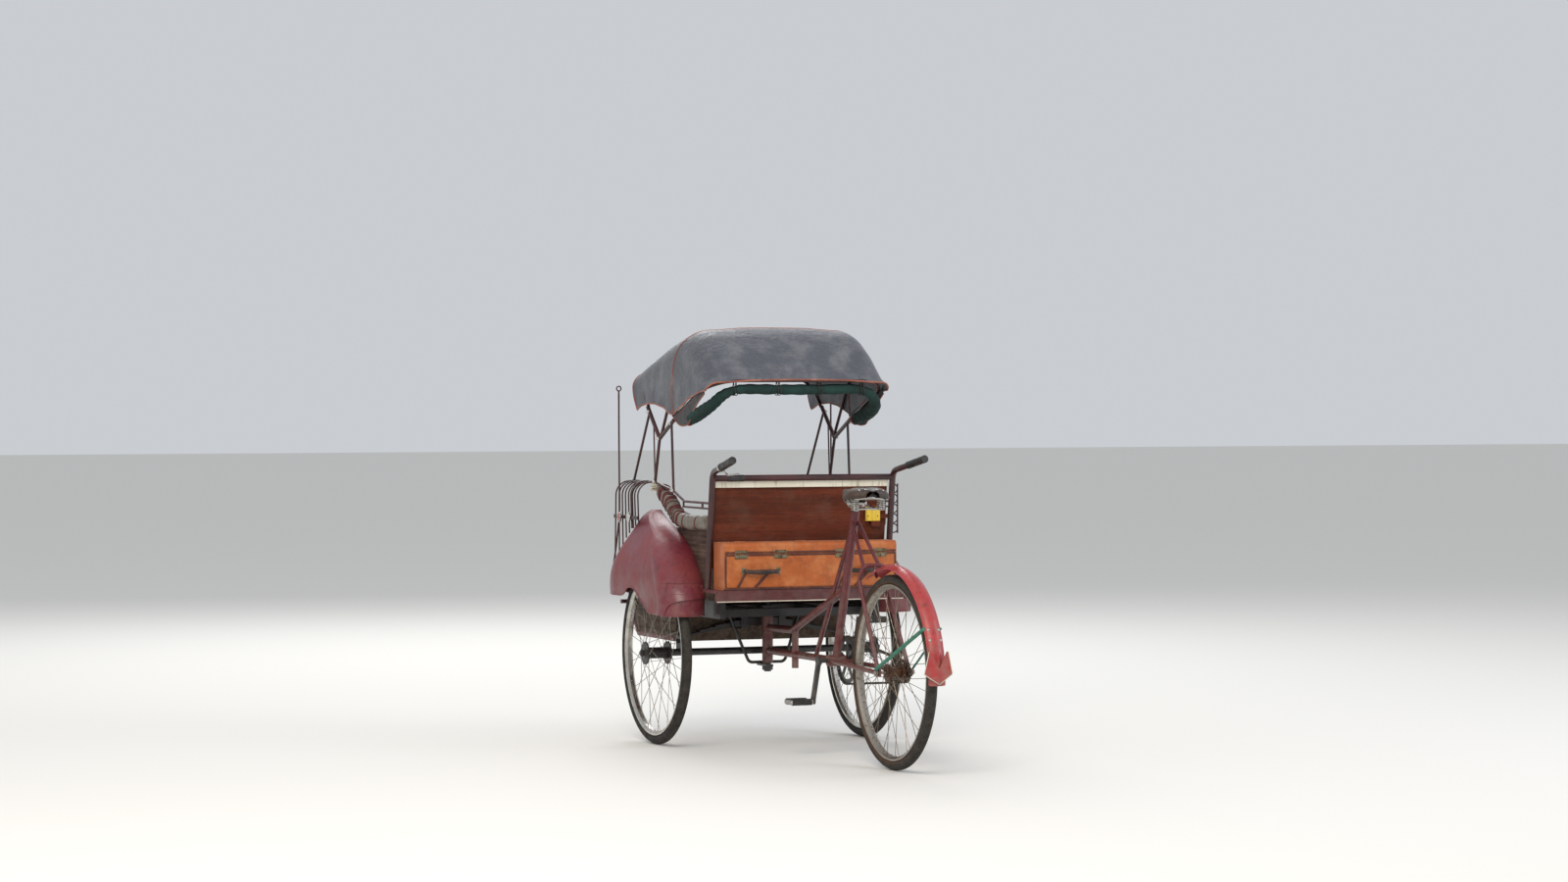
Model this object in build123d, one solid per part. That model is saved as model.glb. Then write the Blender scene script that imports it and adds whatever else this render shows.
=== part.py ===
from build123d import *
import math
import os

# Front-loading cycle rickshaw: a two-wheeled passenger cab ahead of a bicycle-like rear half.
# Millimetres, +X right, +Y forward, +Z up, origin on the ground under the middle of the whole vehicle.

# Wheels and stance
WHEEL_D = 710.0
TYRE_W = 38.0
TRACK = 874.0
WHEELBASE = 1300.0
FRONT_Y = 558.0
AXLE_Z = WHEEL_D / 2
REAR_Y = FRONT_Y - WHEELBASE
WHEEL_X = TRACK / 2
RUN_FIT = 0.05
JOIN = 1.0

# Rims and spokes
RIM_SEAT = 35.0
RIM_DEPTH = 15.0
RIM_W = 31.0
SPOKE_R = 1.2
SPOKES = 36
SPOKE_LAP = 4
RIM_R = AXLE_Z - RIM_SEAT
TYRE_R = TYRE_W / 2

# Front hubs and dead axle
HUB_HALF = 52.0
HUB_BARREL_R = 22.0
HUB_FLANGE_R = 44.0
HUB_FLANGE_T = 6.0
SPINDLE_R = 8.0
AXLE_R = 14.0
NUT_R = 14.0
NUT_T = 9.0
SIDE_GAP = 4.0

# Rear hub and drive
REAR_HUB_HALF = 34.0
REAR_BARREL_R = 19.0
REAR_FLANGE_R = 33.0
REAR_SPINDLE_R = 5.0
PITCH = 12.7
RING_TEETH = 44
COG_TEETH = 18
CHAIN_X = 45.0
CHAIN_H = 8.4
PLATE_T = 2.4

# Leaf spring and chassis rails
LEAF_T = 6.0
LEAF_W = 45.0
LEAF_RISE = 42.0
LEAF_EYE_X = 330.0
LEAF_LOW = 412.0
RAIL_Z = 505.0
RAIL_H = 31.0

# Tub of the cab
TUB_X = 345.0
WOOD = 12.0
FLOOR_Z = 395.0
FOOT_BACK = 30.0
FOOT_FRONT = 456.0
TOE_Y = 556.0
TOE_Z = 496.0
SEAT_Z = 574.0
SEAT_TOP = 700.0
TUB_TOP = 840.0
POST_Y = -385.0
CUSHION_T = 85.0
SILL_H = 46.0

# Posts, push bar and grips
POST_X = 372.0
POST_R = 12.0
POST_LEAN = 52.0
BAR_Z = 1042.0
PANEL_AHEAD = 13.0
PANEL_T = 10.0
STRIP_Z = 1006.0
STRIP_H = 24.0
BACK_PAD_T = 52.0
GRIP_R = 15.0

# Trunk
PLATE_MIDDLE = (296.0, 890.0)
BOARD_Y = -419.0
BOARD_T = 6.0
PLATE_HOLES = 40.0
PLATE_HOLE_R = 2.6
SCROLL_LOW = 822.0
SCROLL_HIGH = 1014.0
TRUNK_X = 354.0
TRUNK_Z = 620.0
TRUNK_TOP = 800.0
TRUNK_SEAM = 757.0
TRUNK_DEPTH = 112.0
TRUNK_WALL = 6.0
TRUNK_ROUND = 16.0
HINGE_R = 2.5
LID_CLEAR = 0.8
LATCH_X = (-286.0, -126.0, 126.0, 286.0)
HANDLE_X = 206.0
HANDLE_HALF = 76.0
HANDLE_Z = 692.0

# Fenders
FENDER_X = 347.0
FENDER_WALL = 2.0
FENDER_HEM = 515.0
ARCH_Z = 600.0

# Hood
HOOD_X = 370.0
HOOD_PIVOT = (138.0, 1185.0)
HOOD_ROUND = 105.0
HOOD_APEX = 80.0
ROLL_X = 348.0
ROLL_R = 18.0
BOW_R = 6.0
COVER_T = 3.0

# Kingpin and rear frame
PIN_Y = -70.0
PIN_R = 14.0
PIN_LOW = 276.0
HOUSING_R = 21.0
HOOP_Y = -30.0
HOOP_R = 6.0
FRAME_R = 16.0
ARM_LOW = 358.0
ARM_HIGH = 447.0
BRACE_Y = -355.0
BB_Y = -758.0
BB_Z = 363.0
BB_R = 21.0
BB_HALF = 34.0
SEAT_TUBE_TOP = (-944.0, 931.0)
STAY_R = 8.0
DROPOUT_X = 62.0
CRANK_L = 165.0
CRANK_X = 70.0
CRANK_T = 14.0
CRANK_ANGLE = 20.0
PEDAL_W = 86.0
PEDAL_L = 78.0
PEDAL_T = 24.0
PEDAL_SPINDLE_R = 6.0
GUARD_GAP = 36.0
GUARD_R = WHEEL_D / 2 + GUARD_GAP
GUARD_W = 62.0
GUARD_T = 2.0
ARCH_Y = -1120.0
ARCH_SHOULDER_Y = -1096.0
ARCH_DROP = 10.0
ARCH_BOLT_DROP = 34.0
ARCH_SHOULDER_DROP = 66.0
ARCH_Z = WHEEL_D / 2 + GUARD_R
STAY_WAY = (0, -336, 178)
STAY_IN = 10.763


def ahead(distance):
    """Y of a point a given distance ahead of the front axle."""
    return FRONT_Y + distance


def box(x0, x1, y0, y1, z0, z1):
    """Block between two corners."""
    size = (abs(x1 - x0), abs(y1 - y0), abs(z1 - z0))
    return Pos((x0 + x1) / 2, (y0 + y1) / 2, (z0 + z1) / 2) * Box(*size)


def rod(start, end, radius):
    """Round bar between two points."""
    a, b = Vector(*start), Vector(*end)
    return Solid.make_cylinder(radius, (b - a).length, Plane(origin=a, z_dir=b - a))


def bent(points, radius, bend):
    """Round bar along a polyline whose corners are arcs of one radius."""
    path = FilletPolyline(*points, radius=bend)
    section = Plane(origin=path @ 0, z_dir=path % 0) * Circle(radius)
    return sweep(section, path=path)


def plate_yz(points, x0, x1):
    """Flat plate cut to an outline of (y, z) points, from one x to another."""
    wire = Polyline(*[(x0, y, z) for y, z in points], close=True)
    return extrude(make_face(wire), amount=x1 - x0, dir=(1, 0, 0))


def disc(x0, x1, y, z, radius):
    """Disc or barrel whose axis runs across the vehicle."""
    return rod((x0, y, z), (x1, y, z), radius)


def turned(profile, x, y, z):
    """Solid of revolution about the cross axis at (x, y, z), from (across, radius) points."""
    wire = Polyline(*[(x + a, y, z + r) for a, r in profile], close=True)
    return revolve(make_face(wire), axis=Axis((x, y, z), (1, 0, 0)))


def other_side(shape):
    """The same shape on the right-hand side."""
    return mirror(shape, about=Plane.YZ)


def save(name, *shapes):
    """Writes one sub-part."""
    solids = [s for shape in shapes for s in shape.solids()]
    part = solids[0] if len(solids) == 1 else Compound(children=[Part(s.wrapped) for s in solids])
    export_step(part, f"parts/{name}.step")


def fused(*shapes):
    """One solid made of touching shapes."""
    return Part() + [s for shape in shapes for s in shape.solids()]


def wheel_tyre(x, y):
    """Tyre: a round tube seated on the rim's cylinder."""
    ring = Solid.make_torus(AXLE_Z - TYRE_R, TYRE_R, Plane(origin=(x, y, AXLE_Z), z_dir=(1, 0, 0)))
    return ring - disc(x - TYRE_W, x + TYRE_W, y, AXLE_Z, RIM_R)


def wheel_rim(x, y):
    """Rim: a box section with sloping inner flanks."""
    half, inner = RIM_W / 2, RIM_R - RIM_DEPTH
    outline = [(-half, RIM_R), (half, RIM_R), (half, RIM_R - 7), (half / 2, inner),
               (-half / 2, inner), (-half, RIM_R - 7)]
    return turned(outline, x, y, AXLE_Z)


def hub_shell(x, y, half, barrel_r, flange_r, flange_at, bore_r):
    """Hub: a barrel with two flanges, bored for its spindle."""
    t = HUB_FLANGE_T / 2
    outline = [(-half, bore_r), (half, bore_r), (half, barrel_r - 4), (flange_at + t, barrel_r),
               (flange_at + t, flange_r), (flange_at - t, flange_r), (flange_at - t, barrel_r),
               (-flange_at + t, barrel_r), (-flange_at + t, flange_r), (-flange_at - t, flange_r),
               (-flange_at - t, barrel_r), (-half, barrel_r - 4)]
    return turned(outline, x, y, AXLE_Z)


def wheel_spokes(x, y, flange_at, flange_r):
    """Crossed spokes: each leaves its flange at one angle and meets the rim several holes on."""
    hole_r = flange_r - 6
    rim_r = RIM_R - RIM_DEPTH + 3
    step = 360 / SPOKES
    spokes = []
    for i in range(SPOKES):
        side = 1 if i % 2 else -1
        lean = 1 if (i // 2) % 2 else -1
        face = flange_at + lean * (HUB_FLANGE_T / 2 - 0.6)
        rim_angle = math.radians(i * step)
        hub_angle = math.radians((i + lean * SPOKE_LAP * 1.5) * step)
        start = (x + side * face, y + hole_r * math.cos(hub_angle), AXLE_Z + hole_r * math.sin(hub_angle))
        end = (x + side * 4, y + rim_r * math.cos(rim_angle), AXLE_Z + rim_r * math.sin(rim_angle))
        a, b = Vector(*start), Vector(*end)
        section = Plane(origin=a, z_dir=b - a) * RegularPolygon(SPOKE_R, 6)
        spokes.append(extrude(section, amount=(b - a).length))
    return spokes


def toothed_ring(teeth, bore_r, x):
    """Chain wheel: a disc with a rounded gap under each roller of the chain."""
    pitch_r = PITCH / (2 * math.sin(math.pi / teeth))
    root, tip = pitch_r - 3.6, pitch_r + 2.6
    points = []
    for i in range(teeth):
        for part, radius in ((-0.32, root), (-0.12, tip), (0.12, tip), (0.32, root)):
            angle = 2 * math.pi * (i + part) / teeth
            points.append((radius * math.cos(angle), radius * math.sin(angle)))
    wire = Polyline(*points, close=True)
    face = make_face(wire) - Circle(bore_r)
    return Plane(origin=(x, 0, 0), x_dir=(0, 1, 0), z_dir=(1, 0, 0)) * extrude(face, amount=PLATE_T)


os.makedirs("parts", exist_ok=True)

# Front wheels
for side, name in ((-1, "front_left"), (1, "front_right")):
    centre = side * WHEEL_X
    hub = hub_shell(centre, FRONT_Y, HUB_HALF, HUB_BARREL_R, HUB_FLANGE_R, HUB_HALF - 6, SPINDLE_R + RUN_FIT)
    save(f"{name}_tyre", wheel_tyre(centre, FRONT_Y))
    save(f"{name}_rim", wheel_rim(centre, FRONT_Y))
    save(f"{name}_hub", fused(hub, *wheel_spokes(centre, FRONT_Y, HUB_HALF - 6, HUB_FLANGE_R)))

# Rear wheel with its sprocket
rear_hub = hub_shell(0, REAR_Y, REAR_HUB_HALF, REAR_BARREL_R, REAR_FLANGE_R, REAR_HUB_HALF - 8,
                     REAR_SPINDLE_R + RUN_FIT)
cog_x = CHAIN_X - PLATE_T / 2
cog_boss = turned([(REAR_HUB_HALF - JOIN, REAR_SPINDLE_R + RUN_FIT), (CHAIN_X + 6, REAR_SPINDLE_R + RUN_FIT),
                   (CHAIN_X + 6, 17), (REAR_HUB_HALF - JOIN, 17)], 0, REAR_Y, AXLE_Z)
cog = Pos(0, REAR_Y, AXLE_Z) * toothed_ring(COG_TEETH, 15, cog_x)
save("rear_tyre", wheel_tyre(0, REAR_Y))
save("rear_rim", wheel_rim(0, REAR_Y))
save("rear_hub", fused(rear_hub, cog_boss, cog, *wheel_spokes(0, REAR_Y, REAR_HUB_HALF - 8, REAR_FLANGE_R)))

# Dead front axle: a tube with a spindle and nut at each end
tube_end = WHEEL_X - HUB_HALF - SIDE_GAP
nut_x = WHEEL_X + HUB_HALF + SIDE_GAP
axle = [disc(-tube_end, tube_end, FRONT_Y, AXLE_Z, AXLE_R)]
for side in (-1, 1):
    axle.append(disc(side * (tube_end - 20), side * (nut_x + NUT_T + 4), FRONT_Y, AXLE_Z, SPINDLE_R))
    nut = Plane(origin=(side * nut_x, FRONT_Y, AXLE_Z), z_dir=(side, 0, 0)) * RegularPolygon(NUT_R, 6)
    axle.append(extrude(nut, amount=NUT_T))
    perch = side * (LEAF_EYE_X + 6)
    axle.append(box(perch - 10, perch + 10, ahead(-24), ahead(24), AXLE_Z, AXLE_Z + 32))
save("front_axle", fused(*axle))

# Transverse leaf spring: the longest leaf is lowest, its eyes hang on shackles from the axle
leaf_radius = (LEAF_EYE_X ** 2 + LEAF_RISE ** 2) / (2 * LEAF_RISE)
leaf_centre = LEAF_LOW + LEAF_RISE - leaf_radius
leaves = []
for number, share in enumerate((1.0, 0.8, 0.6, 0.42, 0.25)):
    inner = leaf_radius + number * LEAF_T
    reach = math.asin(share * LEAF_EYE_X / inner)
    ends = [(r * math.sin(s * reach), leaf_centre + r * math.cos(s * reach))
            for r in (inner, inner + LEAF_T) for s in (-1, 1)]
    tops = [(0, leaf_centre + r) for r in (inner, inner + LEAF_T)]
    place = [(x, ahead(0) - LEAF_W / 2, z) for x, z in ends + tops]
    outline = Wire([Edge.make_three_point_arc(place[0], place[4], place[1]), Edge.make_line(place[1], place[3]),
                    Edge.make_three_point_arc(place[3], place[5], place[2]), Edge.make_line(place[2], place[0])])
    leaves.append(extrude(make_face(outline), amount=LEAF_W, dir=(0, 1, 0)))
leaf_top = LEAF_LOW + LEAF_RISE + 5 * LEAF_T
clamps = [box(x - 14, x + 14, ahead(-28), ahead(28), leaf_top - 42, RAIL_Z) for x in (-80, 80)]
eyes = []
for side in (-1, 1):
    eye_x = side * (LEAF_EYE_X + 6)
    eyes.append(rod((eye_x, ahead(-28), LEAF_LOW + 3), (eye_x, ahead(28), LEAF_LOW + 3), 11))
    for y in (-28, 24):
        eyes.append(box(eye_x - 9, eye_x + 9, ahead(y), ahead(y + 4), AXLE_Z + 8, LEAF_LOW + 14))
save("leaf_spring", fused(*leaves, *clamps, *eyes))

# Chassis: two cross rails, two middle rails and the side rails that carry the tub
rail_top = RAIL_Z + RAIL_H
side_rail_x = TUB_X - WOOD - 3
sill_back = POST_Y - 128
chassis = [box(-side_rail_x, side_rail_x, ahead(y - 20), ahead(y + 20), RAIL_Z, rail_top) for y in (0, -290)]
for side in (-1, 1):
    chassis.append(box(side * 135, side * 165, ahead(-290), ahead(0), RAIL_Z, rail_top))
    chassis.append(box(side * (side_rail_x - 24), side * side_rail_x, ahead(POST_Y - 20), ahead(FOOT_BACK - 4),
                       RAIL_Z, SEAT_Z))
save("chassis", fused(*chassis))

# Kingpin: fixed to the front cross rail above and to the strap of the hoop below
pin_top = box(-30, 30, ahead(PIN_Y - 24), ahead(-20), RAIL_Z + 3, rail_top)
pin = [rod((0, ahead(PIN_Y), PIN_LOW), (0, ahead(PIN_Y), rail_top + 14), PIN_R),
       rod((0, ahead(PIN_Y), PIN_LOW + 6), (0, ahead(PIN_Y), PIN_LOW + 20), PIN_R + 7), pin_top]
strap_z = PIN_LOW + 20
pin.append(box(-15, 15, ahead(PIN_Y - 24), ahead(6), strap_z, strap_z + 8))
save("kingpin", fused(*pin))
hoop_z = strap_z + 8 + HOOP_R
hoop_points = [(x, ahead(HOOP_Y), z) for x, z in
               ((-150, RAIL_Z), (-62, hoop_z), (88, hoop_z), (150, RAIL_Z))]
save("stop_hoop", bent(hoop_points, HOOP_R, 22) - fused(*chassis))

# Foot well: floor, toe board and the bar across its front
toe_in = (TOE_Y - 4, TOE_Z + 12)
floor_outline = [(FOOT_BACK, FLOOR_Z), (FOOT_FRONT, FLOOR_Z), (TOE_Y, TOE_Z), toe_in,
                 (FOOT_FRONT - 6, FLOOR_Z + WOOD), (FOOT_BACK, FLOOR_Z + WOOD)]
floor_x = TUB_X - WOOD
front_bar = rod((-385, ahead(TOE_Y - 6), TOE_Z + 30), (385, ahead(TOE_Y - 6), TOE_Z + 30), 9)
save("foot_boards", plate_yz([(ahead(y), z) for y, z in floor_outline], -floor_x, floor_x))
save("front_bar", front_bar)

# Side panels of the tub
side_outline = [(FOOT_BACK, FLOOR_Z), (FOOT_FRONT, FLOOR_Z), (TOE_Y, TOE_Z), (TOE_Y + 26, TOE_Z + 100),
                (430, 650), (262, TUB_TOP), (POST_Y + 15, TUB_TOP), (POST_Y + 15, SEAT_Z), (FOOT_BACK, SEAT_Z)]
panel = plate_yz([(ahead(y), z) for y, z in side_outline], -TUB_X, -floor_x) - front_bar
save("tub_side_left", panel)
save("tub_side_right", other_side(panel))

# Seat box: riser, top and back board
seat_box = [box(-floor_x, floor_x, ahead(FOOT_BACK), ahead(FOOT_BACK + WOOD), FLOOR_Z + WOOD, SEAT_TOP),
            box(-floor_x, floor_x, ahead(POST_Y + 13), ahead(FOOT_BACK), SEAT_TOP - WOOD, SEAT_TOP),
            box(-floor_x, floor_x, ahead(POST_Y + 13), ahead(POST_Y + 13 + WOOD), SEAT_Z, SEAT_TOP - WOOD)]
save("seat_box", fused(*seat_box))
cushion = box(-floor_x + 8, floor_x - 8, ahead(POST_Y + 40), ahead(FOOT_BACK + 25), SEAT_TOP + 1, SEAT_TOP + CUSHION_T)
save("seat_cushion", fillet(cushion.edges(), 18))

# Rear sill: a shelf behind the seat with a deep edge, which the posts stand on
shelf = box(-POST_X - 14, POST_X + 14, ahead(sill_back), ahead(POST_Y + 13), SEAT_Z + SILL_H - 12, SEAT_Z + SILL_H)
shelf_edge = box(-POST_X - 14, POST_X + 14, ahead(sill_back), ahead(sill_back + 14), SEAT_Z, SEAT_Z + SILL_H)
shelf_foot = box(-side_rail_x, side_rail_x, ahead(POST_Y - 20), ahead(POST_Y + 13), SEAT_Z, SEAT_Z + SILL_H - 12)
save("rear_sill", fused(shelf, shelf_edge, shelf_foot))

# Posts with the push bar between them and their tops bent back into handles
post_foot_z = SEAT_Z + SILL_H
lean = POST_LEAN / (BAR_Z - post_foot_z)
post_top_y = POST_Y - POST_LEAN
handle_end = (POST_X + 20, ahead(post_top_y - 255), BAR_Z + 72)
posts = []
grips = []
for side in (-1, 1):
    x = side * POST_X
    knee = (x, ahead(post_top_y - 3), BAR_Z + 22)
    end = (side * handle_end[0], handle_end[1], handle_end[2])
    posts.append(bent([(x, ahead(POST_Y), post_foot_z), knee, end], POST_R, 45))
    back = Vector(*knee) - Vector(*end)
    grip_start = Vector(*end) + back * 0.5
    tail = Vector(*end) - back.normalized() * 5
    sleeve = rod(tuple(grip_start), tuple(tail), GRIP_R)
    grips.append(sleeve - rod(tuple(grip_start), end, POST_R))
posts.append(rod((-POST_X, ahead(post_top_y), BAR_Z), (POST_X, ahead(post_top_y), BAR_Z), POST_R))
save("push_frame", fused(*posts) - fused(shelf))
save("handle_grips", *grips)

# Back panel between the posts, with a pale strip along its top, and the passenger's back cushion
def leaning(z, offset):
    """Point (y, z) on the plane of the posts, moved forward by an offset."""
    return (ahead(POST_Y - (z - post_foot_z) * lean + offset), z)

panel_x = POST_X - POST_R - 4
panel_outline = [leaning(z, PANEL_AHEAD + d) for z, d in
                 ((SEAT_TOP, 0), (SEAT_TOP, PANEL_T), (STRIP_Z, PANEL_T), (STRIP_Z, 0))]
plate_holes = [rod((PLATE_MIDDLE[0] + side * PLATE_HOLES / 2, ahead(BOARD_Y - 30), PLATE_MIDDLE[1]),
                   (PLATE_MIDDLE[0] + side * PLATE_HOLES / 2, ahead(BOARD_Y + 32), PLATE_MIDDLE[1]), PLATE_HOLE_R)
               for side in (-1, 1)]
save("back_panel", plate_yz(panel_outline, -panel_x, panel_x) - plate_holes)
strip_outline = [leaning(z, PANEL_AHEAD + d) for z, d in
                 ((STRIP_Z, -9), (STRIP_Z, PANEL_T), (STRIP_Z + STRIP_H, PANEL_T), (STRIP_Z + STRIP_H, -9))]
save("back_strip", plate_yz(strip_outline, -panel_x, panel_x))
back_low = SEAT_TOP + CUSHION_T + 4
pad_at = PANEL_AHEAD + PANEL_T + 2
pad_outline = [leaning(z, pad_at + d) for z, d in
               ((back_low, 0), (back_low, BACK_PAD_T + 8), (STRIP_Z, BACK_PAD_T), (STRIP_Z, 0))]
save("back_cushion", plate_yz(pad_outline, -floor_x + 14, floor_x - 14))

# Trunk on the shelf behind the seat: its lid is the top board and the skirt above the rear seam
trunk_front = POST_Y - POST_R - 6
trunk_back = trunk_front - TRUNK_DEPTH
hinge_y = ahead(trunk_front - TRUNK_WALL / 2)
hinge_z = TRUNK_TOP - TRUNK_WALL / 2
box_top = TRUNK_TOP - TRUNK_WALL + 1
outer = box(-TRUNK_X, TRUNK_X, ahead(trunk_back), ahead(trunk_front), TRUNK_Z, TRUNK_TOP)
outer = fillet(outer.edges().filter_by(Axis.X).sort_by(Axis.Y)[:2], TRUNK_ROUND)
inner = box(-TRUNK_X + TRUNK_WALL, TRUNK_X - TRUNK_WALL, ahead(trunk_back + TRUNK_WALL),
            ahead(trunk_front - TRUNK_WALL), TRUNK_Z + TRUNK_WALL, TRUNK_TOP - TRUNK_WALL)
above = box(-TRUNK_X - 1, TRUNK_X + 1, ahead(trunk_back - 1), ahead(trunk_front + 1), box_top, TRUNK_TOP + 1)
skirt_zone = box(-TRUNK_X - 1, TRUNK_X + 1, ahead(trunk_back - 1), ahead(trunk_back + TRUNK_ROUND), TRUNK_SEAM,
                 TRUNK_TOP + 1)
lid_front = hinge_y - HINGE_R - LID_CLEAR
lid_zone = box(-TRUNK_X - 1, TRUNK_X + 1, ahead(trunk_back - 1), lid_front, box_top + LID_CLEAR,
               TRUNK_TOP + 1)
lid_skirt = box(-TRUNK_X - 1, TRUNK_X + 1, ahead(trunk_back - 1), ahead(trunk_back + TRUNK_ROUND - LID_CLEAR),
                TRUNK_SEAM + LID_CLEAR, TRUNK_TOP + 1)
knuckles = []
notches = []
for x in (-250, 0, 250):
    ring = disc(x - 20, x + 20, hinge_y, hinge_z, HINGE_R + 1.8)
    tongue = box(x - 20, x + 20, lid_front - 6, hinge_y, hinge_z - 1, hinge_z + 1.5)
    knuckles.append(fused(ring, tongue) - disc(x - 21, x + 21, hinge_y, hinge_z, HINGE_R + RUN_FIT))
    notches.append(disc(x - 21, x + 21, hinge_y, hinge_z, HINGE_R + 3))
open_box = outer - inner - above - skirt_zone
hinge_pin = disc(-TRUNK_X, TRUNK_X, hinge_y, hinge_z, HINGE_R)
save("rear_trunk", fused(open_box - fused(*notches), hinge_pin))
closed_top = box(-TRUNK_X + TRUNK_WALL, TRUNK_X - TRUNK_WALL, ahead(trunk_back + TRUNK_WALL),
                 ahead(trunk_front - TRUNK_WALL), TRUNK_Z + TRUNK_WALL, box_top + LID_CLEAR)
lid = (outer & fused(lid_zone, lid_skirt)) - closed_top
save("trunk_lid", fused(lid, *knuckles))

# Latches in two halves across the seam, and two carrying handles
rear_face = ahead(trunk_back)
hasps = []
fittings = []
for x in LATCH_X:
    hasps.append(box(x - 27, x + 27, rear_face - 5, rear_face, TRUNK_SEAM + 2, TRUNK_SEAM + 14))
    fittings.append(box(x - 27, x + 27, rear_face - 5, rear_face, TRUNK_SEAM - 19, TRUNK_SEAM - 2))
for side in (-1, 1):
    middle = side * HANDLE_X
    grip_y = rear_face - 22
    loop = [(middle - HANDLE_HALF, rear_face, HANDLE_Z), (middle - HANDLE_HALF, grip_y, HANDLE_Z),
            (middle + HANDLE_HALF, grip_y, HANDLE_Z), (middle + HANDLE_HALF, rear_face, HANDLE_Z)]
    fittings.append(bent(loop, 6, 14))
save("lid_hasps", *hasps)
save("trunk_fittings", *fittings)

# Armrests: a padded bolster along each side, sloping up at the front
rest_outline = [(POST_Y - 5, 843), (-40, 843), (192, 984), (160, 1000), (-30, 900), (POST_Y - 5, 900)]
rest = plate_yz([(ahead(y), z) for y, z in rest_outline], -TUB_X - 37, -TUB_X + 13)
rest = fillet(rest.edges().filter_by(Axis.X), 9)
save("armrest_left", rest)
save("armrest_right", other_side(rest))

# Fenders: D-shaped level sections, open below and towards the tub, with an arch cut for the wheel
FENDER_ROWS = (
    # height, rear end, front end, bulge outwards, bulge rearwards, length of the rear turn
    (FENDER_HEM, -293, 500, 158, 46, 110),
    (620, -285, 500, 158, 36, 110),
    (765, -140, 382, 132, 16, 90),
    (832, 0, 312, 94, 8, 70),
    (872, 115, 276, 68, 4, 42),
    (905, 185, 236, 30, 2, 14),
)


def fender_section(z, rear, front, bulge, nose, turn, shrink=0.0):
    """Level section: straight against the tub, full and round behind the wheel, a quarter round in front."""
    x0 = -FENDER_X
    front, rear, bulge = front - shrink, rear + shrink, bulge - shrink
    end = (front - rear) * 0.28
    k = math.sqrt(0.5)
    tub_front, tub_rear = (x0, ahead(front), z), (x0, ahead(rear), z)
    out_front, out_rear = (x0 - bulge, ahead(front - end), z), (x0 - bulge, ahead(rear + turn), z)
    rear_mid = (x0 - bulge * 0.6, ahead(rear - nose), z)
    front_mid = (x0 - bulge * k, ahead(front - end * (1 - k)), z)
    return make_face(Wire([
        Edge.make_line(tub_front, tub_rear), Edge.make_three_point_arc(tub_rear, rear_mid, out_rear),
        Edge.make_line(out_rear, out_front), Edge.make_three_point_arc(out_front, front_mid, tub_front)]))


def fender_form(shrink, drop):
    """Helmet-shaped solid through the sections."""
    rows = [(z - (drop if i == 0 else shrink), *row) for i, (z, *row) in enumerate(FENDER_ROWS)]
    return loft([fender_section(*row, shrink=shrink) for row in rows])


helmet = fender_form(0, 0)
arch_line = [(-100, FENDER_HEM - 2), (-63, 527), (-8, 551), (47, 583), (92, 603), (148, 602), (182, 585), (240, 567)]
arch_curve = Edge.make_spline([Vector(-560, ahead(y), z) for y, z in arch_line])
arch_rest = [(240, 567), (620, 567), (620, 400), (-100, 400), (-100, FENDER_HEM - 2)]
arch_sides = [Edge.make_line((-560, ahead(a[0]), a[1]), (-560, ahead(b[0]), b[1]))
              for a, b in zip(arch_rest, arch_rest[1:])]
arch = extrude(make_face(Wire([arch_curve, *arch_sides])), amount=560 - FENDER_X - 30, dir=(1, 0, 0))
fender = helmet - fender_form(FENDER_WALL, 30) - arch
save("fender_left", fender)
save("fender_right", other_side(fender))

# Side ironwork: a top rail, bowed ribs down to the fender's crown, and a cross bar for the reflectors
RAIL_TOP_Z = 1013.0
RIB_X = 446.0
RIBS = (
    # place along the rail, foot ahead of the rail end, foot height, radius
    (437, 468, 640, 3.0),
    (402, 415, 690, 3.0),
    (367, 372, 740, 3.0),
    (332, 334, 790, 3.0),
    (297, 298, 810, 3.0),
    (262, 262, 830, 6.0),
    (227, 227, 840, 3.0),
    (192, 192, 850, 3.0),
)
iron = [rod((-POST_X, ahead(186), RAIL_TOP_Z), (-POST_X, ahead(443), RAIL_TOP_Z), 5)]
for top_y, foot_y, foot_z, radius in RIBS:
    rib = [(-POST_X, ahead(top_y), RAIL_TOP_Z), (-RIB_X, ahead(top_y), RAIL_TOP_Z),
           (-RIB_X + 6, ahead(foot_y), foot_z)]
    iron.append(bent(rib, radius, 55) - helmet)
iron_bar = box(-RIB_X - 5, -RIB_X + 1, ahead(180), ahead(452), 866, 880)
iron.append(iron_bar)
ribs = fused(*iron)
save("side_ribs_left", ribs)
save("side_ribs_right", other_side(ribs))

# Whip rods with a ring at the top, clamped to the cross bar and bent forward to the fender's tip
WHIP_X = RIB_X + 10
whip = bent([(-WHIP_X, ahead(378), 1372), (-WHIP_X, ahead(370), 900), (-WHIP_X, ahead(455), 640)], 4, 60) - helmet
ring = Solid.make_torus(11, 2.5, Plane(origin=(-WHIP_X, ahead(378), 1383), z_dir=(1, 0, 0)))
whip = fused(whip, ring)
save("whip_rods", whip, other_side(whip))
lamp_bracket = box(-WHIP_X + 4, -WHIP_X - 6, ahead(340), ahead(358), 850, 892)
red_eye = disc(-WHIP_X - 6, -WHIP_X - 13, ahead(349), 872, 19)
white_eye = disc(-RIB_X - 6, -RIB_X - 12, ahead(272), 873, 21)
reflectors = [lamp_bracket, red_eye, white_eye]
reflectors[0] = lamp_bracket - iron_bar
save("reflectors", *reflectors, *[other_side(r) for r in reflectors])

# Hood irons: a post, two stays and a hairpin rod carry the flat arms that the bows spring from
pivot_y, pivot_z = HOOD_PIVOT
FRONT_ARM = (272.0, 1308.0)
REAR_ARM = (-22.0, 1259.0)
foot_z = RAIL_TOP_Z


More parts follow.
